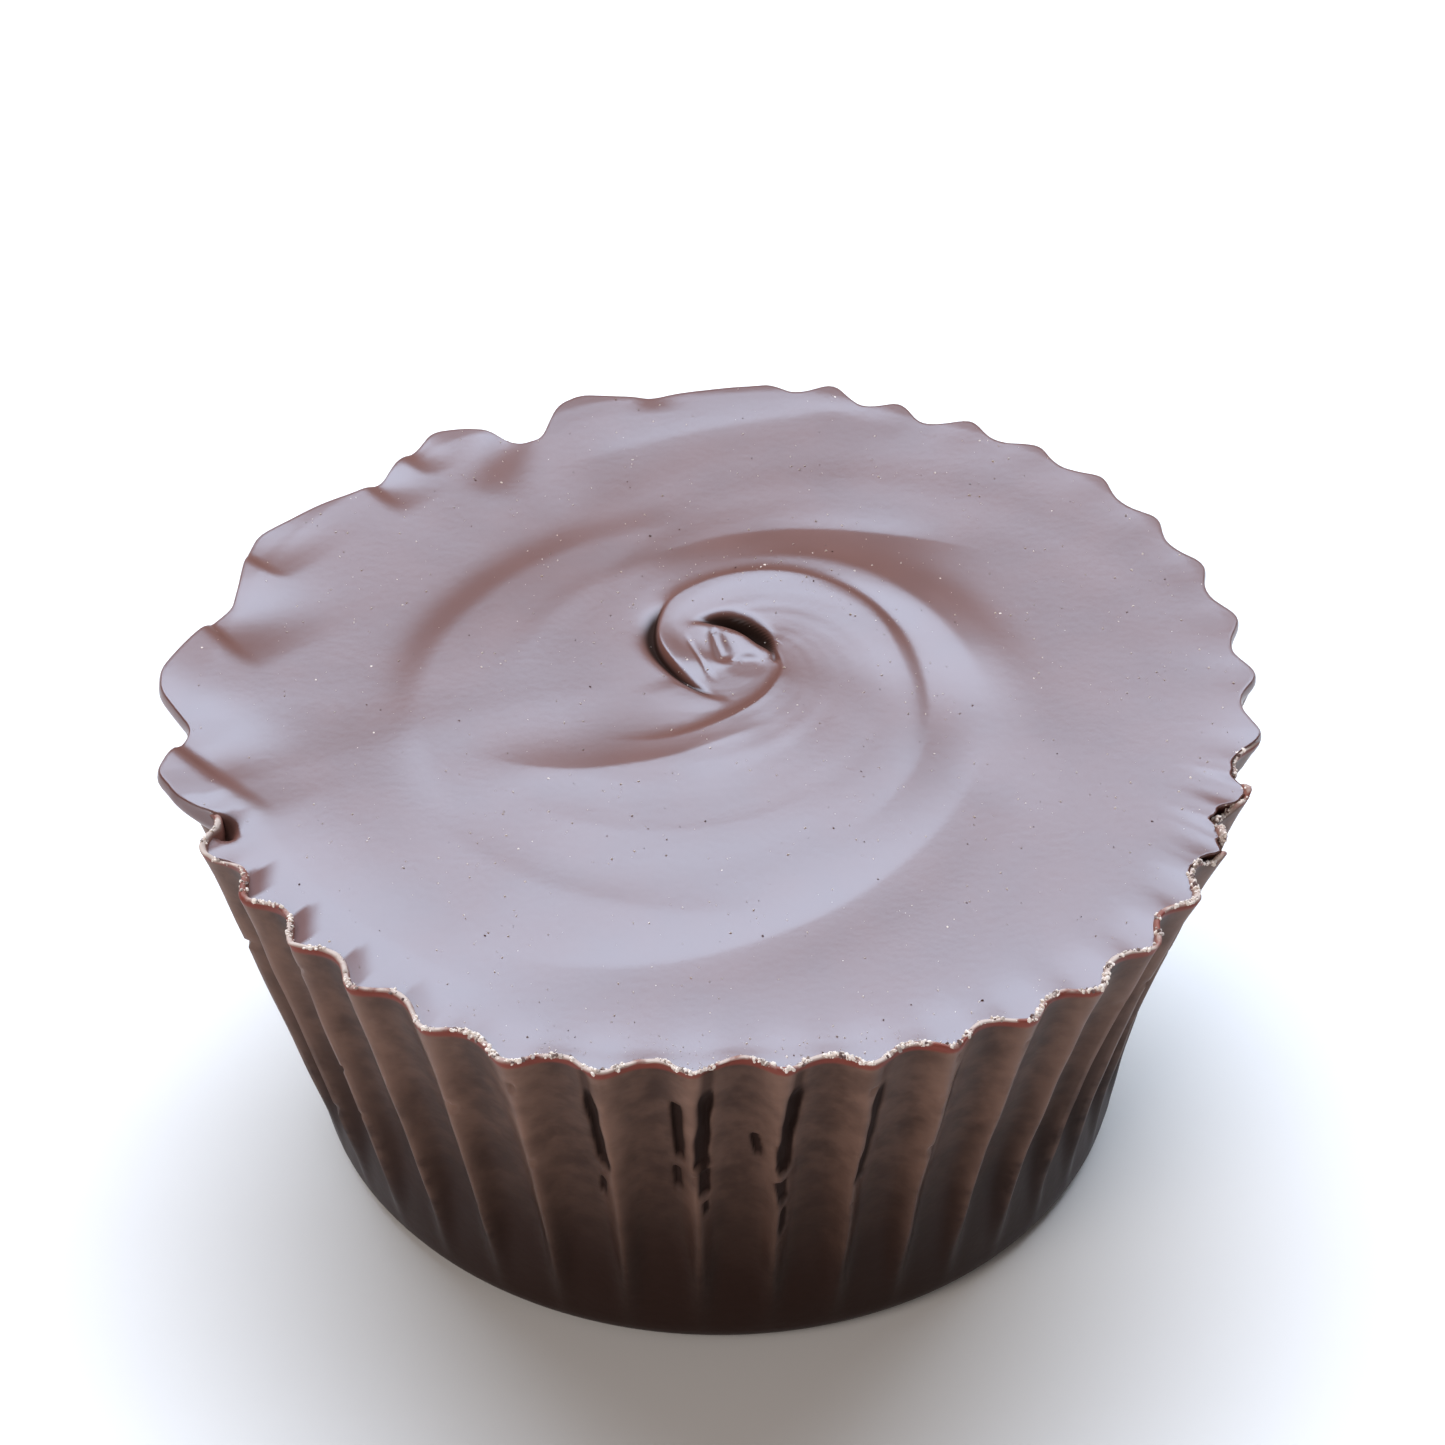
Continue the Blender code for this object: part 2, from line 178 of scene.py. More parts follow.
class Graph:
    def __init__(self, tree):
        self.tree = tree

    def node(self, kind, settings=None, inputs=None, output=0):
        made = self.tree.nodes.new(kind)
        for name, value in (settings or {}).items():
            setattr(made, name, value)
        for name, value in (inputs or {}).items():
            if isinstance(value, Wire):
                self.tree.links.new(value.socket, made.inputs[name])
            else:
                made.inputs[name].default_value = value
        return Wire(self, made.outputs[output]) if made.outputs else made

    def math(self, operation, *values):
        return self.node("ShaderNodeMath", {"operation": operation}, dict(enumerate(values)))

    def smooth(self, value, low, high, most=1.0):  # 0 below low, most above high, smooth between
        settings = {"interpolation_type": "SMOOTHSTEP"}
        inputs = {"Value": value, "From Min": low, "From Max": high, "To Max": most}
        return self.node("ShaderNodeMapRange", settings, inputs)

    def blend(self, share, first, second):  # colours, by a share from 0 to 1
        settings = {"data_type": "RGBA"}
        inputs = {0: share, 6: first, 7: second}
        return self.node("ShaderNodeMix", settings, inputs, 2)

    def noise(self, place, scale, detail):
        return self.node("ShaderNodeTexNoise", None, {"Vector": place, "Scale": scale, "Detail": detail})

    def attribute(self, name):  # a number kept on the mesh, read by a material
        return self.node("ShaderNodeAttribute", {"attribute_name": name}, None, "Fac")

    def named(self, name):  # the same, read by Geometry Nodes
        return self.node("GeometryNodeInputNamedAttribute", {"data_type": "FLOAT"}, {"Name": name})

    def mark(self, shape, name, value, domain="POINT"):  # keeps a number on the mesh
        settings = {"data_type": "FLOAT", "domain": domain}
        inputs = {"Geometry": shape, "Name": name, "Value": value}
        return self.node("GeometryNodeStoreNamedAttribute", settings, inputs)

    def close(self, shape, material):  # ends a Geometry Nodes tree
        realized = self.node("GeometryNodeRealizeInstances", None, {"Geometry": shape})
        painted = self.node("GeometryNodeSetMaterial", None, {"Geometry": realized, "Material": material})
        self.node("NodeGroupOutput", None, {"Geometry": painted})
        return self.tree

    def principled(self, inputs):
        return self.node("ShaderNodeBsdfPrincipled", None, inputs)

    def bumped(self, height, distance):
        inputs = {"Height": height, "Strength": 1.0, "Distance": distance}
        return self.node("ShaderNodeBump", None, inputs)

    def mixed(self, share, first, second):  # shaders
        return self.node("ShaderNodeMixShader", None, {0: share, 1: first, 2: second})


def geometryTree(name, kinds):  # named inputs of those kinds between a geometry and a material
    tree = bpy.data.node_groups.new(name, "GeometryNodeTree")
    tree.interface.new_socket(name="Geometry", in_out="OUTPUT", socket_type="NodeSocketGeometry")
    for label, kind in {"Geometry": "Geometry", **kinds, "Material": "Material"}.items():
        tree.interface.new_socket(name=label, in_out="INPUT", socket_type="NodeSocket" + kind)
    return Graph(tree)


# The cup's own sizes

cup = {
    "rimRadius": 25.5 * mm,
    "baseRadius": 19.5 * mm,
    "rimHeight": 22.8 * mm,
    "footRounding": 1.2 * mm,
    "lipThickness": 0.32 * mm,
    "outlineMiddle": (-0.55 * mm, 0.13 * mm),  # of the whole outline, from the axis of the case
    "waist": 0.20 * mm,
    "waistSide": (338, 45, 0.75 * mm),  # angle, half width, further depth
    "pushes": (  # where the case was out of round: angle, half width, push outwards at the rim
        (30, 46, 0.45 * mm),
        (66, 8, -0.45 * mm),
        (80, 9, 0.40 * mm),
        (204, 8, 0.50 * mm),
        (247, 14, 0.60 * mm),
        (273, 16, -0.60 * mm),
        (315, 22, 0.55 * mm),
    ),
}
outlineMiddle = np.array((*cup["outlineMiddle"], 0.0))


def plainRadius(angle, height):  # of the wall before it is fluted, out to the ridges
    share = height / cup["rimHeight"]
    plain = cup["baseRadius"] + (cup["rimRadius"] - cup["baseRadius"]) * share
    centre, width, depth = cup["waistSide"]
    waist = (cup["waist"] + depth * bump(angle, centre, width)) * 4 * share * (1 - share)
    return plain + bumps(angle, cup["pushes"]) * share**2 - waist


# The overflow at the back left, and the stretch at the right where the top runs out level over the lip
overflow = {
    "outline": (  # angle, and how far out the swollen edge reaches there in millimetres
        (76, 25.75), (82, 25.55), (88, 25.15), (92, 24.85), (98, 24.5), (102, 24.9), (106, 25.45),
        (109, 25.0), (111, 23.85), (113, 22.75), (116, 22.95), (118, 24.45), (121, 25.25), (124, 25.75),
        (127, 25.1), (130, 24.95), (134, 24.15), (138, 24.5), (142, 25.1), (146, 25.55), (150, 26.2),
        (154, 25.8), (158, 25.2), (162, 24.8), (165, 25.3), (168, 25.9), (174, 26.85), (177, 26.7),
        (180, 25.85), (183, 25.05), (185, 25.3), (187, 26.1), (190, 26.8), (193, 26.25), (196, 26.0),
        (204, 25.8),
    ),
    "smoothing": 0.9,  # degrees either way
    "samples": 7,  # over those degrees
    # Where lobes meet: start and end in millimetres from the axis, depth, left and right width
    "valleys": (
        ((-26.3, -1.4), (-19.7, -8.0), 0.38, 2.8, 0.55),
        ((-25.4, 7.8), (-21.5, 2.9), 0.34, 3.4, 0.50),
        ((-23.6, 12.2), (-20.4, 9.6), 0.20, 2.8, 0.45),
        ((-17.7, 17.9), (-14.9, 15.0), 0.20, 1.4, 0.5),
        ((-16.2, 20.8), (-13.8, 17.8), 0.20, 1.0, 0.5),
        ((-10.2, 22.8), (-11.6, 16.2), 0.30, 1.3, 1.0),
        ((-3.7, 25.9), (-3.3, 22.8), 0.16, 1.0, 0.6),
    ),
    "valleyFade": 0.7,  # share of a valley over which its inner end fades
    # Left by a curl of the lip, in millimetres
    "pit": {"place": (-23.05, -8.35), "turn": -50, "half": (0.80, 0.42), "depth": 0.9, "sharp": 4},
    "rounding": 0.48 * mm,
    "swell": 0.35,  # share of the rounding that the edge swells outwards
    "rise": 0.36 * mm,  # towards the edge
    "riseLength": 11.0 * mm,
    "riseSpan": (-5, 194, 40),
    "span": (84, 196, 6),  # first angle, last angle, and the degrees over which it fades
    "levelSpan": (-6, 84, 6),
    "levelRounding": 0.38 * mm,
}


def spanShare(angle, span):  # 1 within the span, 0 outside, fading over the degrees given
    first, last, fade = span
    away = np.abs(turnBetween(angle, (first + last) / 2))
    return ease(((last - first) / 2 - away) / fade + 0.5)


def overflowCover(angle):
    return spanShare(angle, overflow["span"])


def levelCover(angle):
    return spanShare(angle, overflow["levelSpan"])


def bareCover(angle):  # where neither hides the lip
    return np.clip(1 - overflowCover(angle) - levelCover(angle), 0, 1)


def overflowRadius(angle):
    angles, reach = np.array(overflow["outline"]).T
    offsets = np.linspace(-1, 1, overflow["samples"]) * overflow["smoothing"]
    reached = [np.interp(angle + off, angles, reach, period=360) for off in offsets]
    return np.mean(reached, axis=0) * mm - overflow["swell"] * overflow["rounding"]


creaseWidths = (0.7, 1.3)  # share of its stated width that a crease has at its start and at its end
creaseFade = 0.3  # share of a crease over which either end fades


def creaseShape(crease, x, y):  # share of the way along it, and the depth there of an endless one
    (startX, startY), (endX, endY), deep, left, right = crease
    fromX, fromY = x - startX, y - startY
    wayX, wayY = endX - startX, endY - startY
    length = np.hypot(wayX, wayY)
    share = (fromX * wayX + fromY * wayY) / length**2
    off = (wayX * fromY - wayY * fromX) / length
    width = np.where(off > 0, left, right) * np.interp(share, (0, 1), creaseWidths)
    return share, deep * np.exp(-((off / width) ** 2))


def creaseDepth(crease, x, y):
    share, depth = creaseShape(crease, x, y)
    return depth * fadeEnds(share, creaseFade)


def pitDepth(x, y):
    pit = overflow["pit"]
    long, short = pit["half"]
    fromX, fromY = x / mm - pit["place"][0], y / mm - pit["place"][1]
    cosine, sine = np.cos(np.radians(pit["turn"])), np.sin(np.radians(pit["turn"]))
    away = np.hypot((fromX * cosine + fromY * sine) / long, (fromY * cosine - fromX * sine) / short)
    return pit["depth"] * np.exp(-(away ** pit["sharp"])) * mm


def valleyDepth(x, y):
    depth = np.zeros_like(x)
    for valley in overflow["valleys"]:
        share, deep = creaseShape(valley, x / mm, y / mm)
        depth = np.maximum(depth, deep * ease((1 - share) / overflow["valleyFade"]))
    return depth * mm + pitDepth(x, y)


# The fluted wall: a plain cup of rings, then fluted by Geometry Nodes
wall = {
    "segments": 960,
    "fineSteps": 7201,  # from which their places are read
    "closerSpan": (228, 312, 20),  # the front, where the corners stand closer
    "closer": 1.3,
    "lowRings": 14,
    "highRings": 46,
    "highFrom": 8.5 * mm,
    "flutes": {
        "Flute Count": 40.0,
        "First Ridge": 266.6,
        "Ridge Drift": 1.2,
        "Drift Turns": 3.0,
        "Drift Start": 250.0,
        "Flute Depth": 1.0 * mm,
        "Flutes Start": 0.6 * mm,
        "Flutes Full": 9.0 * mm,
        "Low Sharpness": 2.6,
        "Rim Sharpness": 0.4,
        "Rim Height": 22.8 * mm,
        "Wobble": 0.45,
        "Wobble Size": 9.0 * mm,
        "Seam Height": 0.14 * mm,
        "Seam Width": 0.26,
    },
    "seamFades": (0.15, 0.35, 0.75, 0.95),  # shares of the height between which the seams come and go
    "shallow": ((35, 50, 0.35), (277, 50, 0.22)),  # angle, half width, share of the flutes' depth lost
    "footShares": (0.3, 0.6, 0.8, 0.92, 1.0),  # rings of the flat base
    "footTurns": (15, 30, 45, 60, 75),  # round its edge
    # Over the lip: share of its thickness inwards, millimetres below its top, and how scraped it is
    "lipProfile": ((0.08, 0.04, 0.7), (0.25, 0.0, 1), (0.6, 0.0, 1), (0.9, 0.05, 0.9), (1.0, 0.16, 0.3)),
    "lipFrom": 0.12 * mm,  # where the wall's own rings end, below the top of the lip
    "innerSteps": (0.35, 0.7, 1.05, 1.4),  # down the inside, in millimetres
    "floorShares": (0.9, 0.6, 0.3),
    "floorDrop": 4.0 * mm,  # of the hidden inner floor below the rim
    "coveredDrop": 0.8 * mm,  # of the lip under the overflow
    "behindDrop": 0.9,  # and further, for each millimetre that the overflow stays behind it
    "behindFrom": 0.3 * mm,
    "bareRise": 0.09 * mm,  # where the lip stands bare
    "levelDrop": 0.14 * mm,  # and where the top runs level over it
    "ragged": ((0.05 * mm, 2.5 * mm, 3), (0.035 * mm, 0.8 * mm, 4)),  # height, size of the lumps, seed
    "frayed": ((-20, 9, 1.0 * mm), (-12, 4, 0.7 * mm), (203, 4, 0.3 * mm)),  # angle, half width, lost height
    "torn": (0.5, 0.7, 1.2 * mm, 5),  # patches in which the frayed lip is lost
    "voids": (  # left in the casting: angle and height at the top, the same at the bottom, width, depth
        (256.1, 22.3, 256.8, 14.8, 0.58, 0.50),
        (256.3, 13.0, 256.0, 11.9, 0.35, 0.25),
        (265.3, 19.5, 265.6, 15.4, 0.42, 0.42),
        (265.1, 14.3, 265.2, 12.9, 0.30, 0.28),
        (268.9, 22.5, 268.0, 15.2, 0.56, 0.55),
        (268.3, 14.6, 268.3, 13.0, 0.45, 0.35),
        (268.4, 12.0, 268.5, 11.4, 0.25, 0.2),
        (278.5, 22.2, 277.3, 14.8, 0.58, 0.55),
        (277.2, 13.5, 277.5, 12.2, 0.45, 0.35),
        (277.7, 11.2, 277.6, 9.6, 0.35, 0.25),
        (274.1, 16.7, 274.5, 15.6, 0.34, 0.30),
        (287.6, 22.2, 286.7, 13.0, 0.55, 0.22),
        (296.6, 21.5, 295.6, 12.0, 0.40, 0.12),
    ),
    "voidEdge": (0.16, 2.2 * mm, 11),  # strength, size and seed of what makes their outlines uneven
    "voidSteepness": 5,
    "voidDark": (0.16 * mm, 1.5),  # painted shade: depth at which they are fully dark, and the power it grows by
    "thinLip": (19.6 * mm, 1.5 * mm, 0.78),  # where the lip starts, its fade, and the share of depth lost
    "chips": (0.35 * mm, 1.3 * mm, 12, 1.25),  # along the ridges: depth, size, seed, and how rare
    "uneven": (0.05 * mm, 6 * mm, 13, 4 * mm),  # height, size, seed, and the height at which it is full
}


def wallAngles():  # corners round the wall, closer together at the front
    fine = np.linspace(0, 360, wall["fineSteps"])
    crowd = 1 + wall["closer"] * spanShare(fine, wall["closerSpan"])
    passed = np.concatenate([[0], np.cumsum((crowd[1:] + crowd[:-1]) / 2)])
    return np.interp(np.arange(wall["segments"]) / wall["segments"], passed / passed[-1], fine)


def lipTop(angle):  # height of the thin edge: ragged, lost where frayed, lower where the top covers it
    around = ringPoints(cup["rimRadius"], angle, 0.0)
    ragged = sum(height * ripple(around, size, seed) for height, size, seed in wall["ragged"])
    lost = bumps(angle, wall["frayed"]) * patches(around, *wall["torn"])
    behind = np.maximum(cup["rimRadius"] - overflowRadius(angle) - wall["behindFrom"], 0)
    covered = (wall["coveredDrop"] + wall["behindDrop"] * behind) * overflowCover(angle)
    covered += wall["levelDrop"] * levelCover(angle)
    return cup["rimHeight"] + ragged + wall["bareRise"] * bareCover(angle) - lost - covered


def plainCup():  # rings from the middle of the base, up the wall, over the lip and across the inner floor
    angle = wallAngles()
    lip = lipTop(angle)
    rings, traits = [], []

    def add(radius, height, fluted=1.0, scraped=0.0, inside=0.0):
        rings.append(ringPoints(radius, angle, height))
        traits.append((fluted, scraped, inside))

    rounding = cup["footRounding"]
    foot = plainRadius(angle, 0.0) - rounding
    for share in wall["footShares"]:
        add(foot * share, 0.0, 0.0)
    for turn in wall["footTurns"]:
        up = rounding * (1 - np.cos(np.radians(turn)))
        out = rounding * (1 - np.sin(np.radians(turn)))
        add(plainRadius(angle, up) - out, up)
    for share in np.linspace(0, 1, wall["lowRings"], endpoint=False):
        height = rounding + (wall["highFrom"] - rounding) * share
        add(plainRadius(angle, height), height)
    for share in np.linspace(0, 1, wall["highRings"]):
        height = wall["highFrom"] + (lip - wall["lipFrom"] - wall["highFrom"]) * share
        add(plainRadius(angle, height), height)
    outer = len(rings) - 1
    thick = cup["lipThickness"]
    for inset, below, scraped in wall["lipProfile"]:
        height = lip - below * mm
        add(plainRadius(angle, height) - inset * thick, height, 1.0, scraped, 1.0 if inset > 0.5 else 0.0)
    for below in wall["innerSteps"]:
        height = lip - below * mm
        add(plainRadius(angle, height) - thick, height, 1.0, 0.0, 1.0)
    floor = cup["rimHeight"] - wall["floorDrop"]
    for share in wall["floorShares"]:
        add(plainRadius(angle, floor) * share, floor, 0.0, 0.0, 1.0)
    base, cap = ringPoints(0.0, angle[:1], 0.0), ringPoints(0.0, angle[:1], floor)
    mesh = meshFromRings("plainCup", [base, *rings, cap])
    spread = np.repeat(np.array(traits), len(angle), axis=0)
    spread = np.concatenate([[(0, 0, 0)], spread, [(0, 0, 1)]])
    for name, values in zip(("fluted", "scraped", "inside"), spread.T):
        setAttribute(mesh, name, values)
    kept = 1 - bumps(angle, wall["shallow"])
    setAttribute(mesh, "depthKept", np.concatenate([[1], np.tile(kept, len(rings)), [1]]))
    return mesh, outer


def fluteTree():  # pulls the wall in between the ridges
    g = geometryTree("fluteWall", {**{name: "Float" for name in wall["flutes"]}, "Middle": "Vector"})
    given = g.node("NodeGroupInput")
    size = {name: given.other(name) for name in wall["flutes"]}
    place = g.node("GeometryNodeInputPosition")
    fromAxis = g.node("ShaderNodeVectorMath", {"operation": "ADD"}, {0: place, 1: given.other("Middle")})
    x = g.node("ShaderNodeSeparateXYZ", None, {"Vector": fromAxis})
    y, z = x.other("Y"), x.other("Z")
    angle = g.math("DEGREES", g.math("ARCTAN2", y, x))
    wobble = (g.noise(place, 1.0 / size["Wobble Size"], 1.0) - 0.5) * 2 * size["Wobble"]
    drift = g.math("SINE", g.math("RADIANS", (angle - size["Drift Start"]) * size["Drift Turns"]))
    turned = angle - size["First Ridge"] - drift * size["Ridge Drift"] - wobble
    phase = g.math("RADIANS", turned * size["Flute Count"])
    share = z / size["Rim Height"]
    sharpness = size["Low Sharpness"] + (size["Rim Sharpness"] - size["Low Sharpness"]) * share
    lowest = g.math("EXPONENT", sharpness * -2.0)
    wave = (g.math("EXPONENT", sharpness * (g.math("COSINE", phase) - 1.0)) - lowest) / (1.0 - lowest)
    grown = g.smooth(z, size["Flutes Start"], size["Flutes Full"])
    fluted = g.named("fluted")
    seamPhase = g.math("SINE", phase * 0.5) / size["Seam Width"]
    seam = g.math("EXPONENT", -(seamPhase * seamPhase))
    comes, full, fades, gone = wall["seamFades"]
    seamShown = g.smooth(share, comes, full) * (1.0 - g.smooth(share, fades, gone))
    raised = seam * seamShown * size["Seam Height"]
    pull = (size["Flute Depth"] * g.named("depthKept") * (1.0 - wave) * grown - raised) * fluted
    outwards = g.node("ShaderNodeCombineXYZ", None, {"X": x, "Y": y})
    unit = g.node("ShaderNodeVectorMath", {"operation": "NORMALIZE"}, {0: outwards})
    moved = g.node("ShaderNodeVectorMath", {"operation": "SCALE"}, {0: unit, "Scale": -pull})
    marked = g.mark(given, "ridge", wave * grown * fluted)
    marked = g.mark(marked, "crest", seam * grown * fluted)
    shaped = g.node("GeometryNodeSetPosition", None, {"Geometry": marked, "Offset": moved})
    return g.close(shaped, given.other("Material"))


def throughNodes(name, mesh, tree, values):  # the mesh after a Geometry Nodes tree, as a plain mesh
    carrier = addPiece(name, mesh)
    modifier = carrier.modifiers.new(name, "NODES")
    modifier.node_group = tree
    sockets = {item.name: item.identifier for item in tree.interface.items_tree if item.in_out == "INPUT"}
    for key, value in values.items():
        modifier[sockets[key]] = value
    bpy.context.view_layer.update()
    depsgraph = bpy.context.evaluated_depsgraph_get()
    made = bpy.data.meshes.new_from_object(carrier.evaluated_get(depsgraph))
    made.name = name
    bpy.data.objects.remove(carrier)
    return made


def voidDepth(angle, radius, height, edge):
    deepest = np.zeros(len(angle))
    for topAngle, topHeight, lowAngle, lowHeight, width, depth in wall["voids"]:
        length = (topHeight - lowHeight) * mm
        share = (topHeight * mm - height) / length
        onLine = topAngle + (lowAngle - topAngle) * np.clip(share, 0, 1)
        across = np.radians(turnBetween(angle, onLine)) * radius
        beyond = np.maximum(np.maximum(-share, share - 1), 0) * length
        off = np.hypot(across, beyond) / (0.5 * width * mm * edge)
        deepest = np.maximum(deepest, depth * mm / (1 + np.clip(off, 0, 9) ** wall["voidSteepness"]))
    return deepest


def castingFaults(mesh, outer):  # voids and chips pressed into the outside of the wall
    points = pointsFromAxis(mesh)
    outside = np.zeros(len(points))
    outside[: 1 + (outer + 1) * wall["segments"]] = 1
    radius, angle = polar(points[:, 0], points[:, 1])
    height = points[:, 2]
    strength, size, seed = wall["voidEdge"]
    edge = 1 + strength * ripple(points, size, seed)
    lipStart, lipFade, lipLoss = wall["thinLip"]
    pressed = voidDepth(angle, radius, height, edge) * outside
    pressed *= 1 - lipLoss * ease((height - lipStart) / lipFade)
    chipDepth, size, seed, rare = wall["chips"]
    chips = np.clip(ripple(points, size, seed) * readAttribute(mesh, "ridge") - rare, 0, 1) * chipDepth
    swell, size, seed, full = wall["uneven"]
    uneven = ripple(points, size, seed) * swell * ease(height / full)
    moved = radius - pressed + (uneven - chips) * outside
    points[:, :2] *= (moved / np.maximum(radius, 1e-9))[:, None]
    mesh.vertices.foreach_set("co", (points - outlineMiddle).astype(np.float32).ravel())
    # Painted shade in the voids, darker the deeper they are
    darkDepth, power = wall["voidDark"]
    setAttribute(mesh, "hollow", np.clip(pressed / darkDepth, 0, 1) ** power)
    mesh.update()


def makeWall(material):
    plain, outer = plainCup()
    values = {**wall["flutes"], "Middle": Vector(outlineMiddle), "Material": material}
    mesh = throughNodes("flutedWall", plain, fluteTree(), values)
    castingFaults(mesh, outer)
    mesh.shade_smooth()
    return addPiece("flutedWall", mesh), outer


def ringRadius(piece, ring):  # the radius of a ring of the wall, as a function of the angle
    first = 1 + ring * wall["segments"]
    points = pointsFromAxis(piece.data)[first : first + wall["segments"]]
    radii, angles = polar(points[:, 0], points[:, 1])
    angles = angles % 360
    order = np.argsort(angles)
    return lambda angle: np.interp(np.asarray(angle) % 360, angles[order], radii[order], period=360)


# The top: a pool of chocolate drawn into a swirl

top = {
    "segments": 720,
    "domeRise": 0.12 * mm,
    "domePower": 2.6,
    "poolDrop": 0.10 * mm,  # below the lip
    "lowPool": (222, 27, 0.32 * mm, 4.2 * mm),  # angle, half width, further drop and its length inwards
    "climb": 0.06 * mm,  # up the lip in each inward bend
    "climbLength": 0.8 * mm,
    "meniscus": 1.3 * mm,
    "pocketDrop": 0.08 * mm,  # further, in each outward bend of the lip
    "pocketLength": 1.5 * mm,
    "pocketKept": 0.25,  # share of it where the lip isn't bare
    "pocketLost": 0.8,  # share of it lost in the low pool
    "bend": 0.5 * mm,  # a lip bent out that far is mostly bent
    "swirlCentre": (0.75 * mm, 3.55 * mm),
    "twistFrom": 0.80,
    "twist": 1.7,
    "evenInset": 0.5 * mm,  # of the even round edge that the twisted grid is drawn to
    # Rings from the edge to the centre: first and last share, how many, and every which corner is kept
    "rings": ((0.994, 0.80, 28, 1), (0.793, 0.36, 54, 1), (0.354, 0.11, 56, 2), (0.107, 0.01, 26, 4)),
    "skirt": (0.12, 0.3, 0.5, 0.75, 1.0, 1.3, 1.6),  # millimetres below the pool, inside the lip
    "skirtInset": (0.12 * mm, 0.4),  # and the depth in millimetres at which it is full
    "under": (3.2 * mm, 0.5 * mm),  # the hidden underside: depth below the rim, and inset
    "lipMiddle": 3,  # rings from the outer edge of the lip to its middle
    "lipSteps": 1441,  # round the lip, at which it is smoothed
    "lipSamples": 36,  # across one flute
    "darkDepth": 0.28 * mm,
    "pitDark": 0.8,
    "shownFrom": 21 * mm,  # the skirt below it takes no colour
    "edgeTurns": (12, 27, 44, 62, 80, 100, 124),  # round the overflow's swollen edge
}

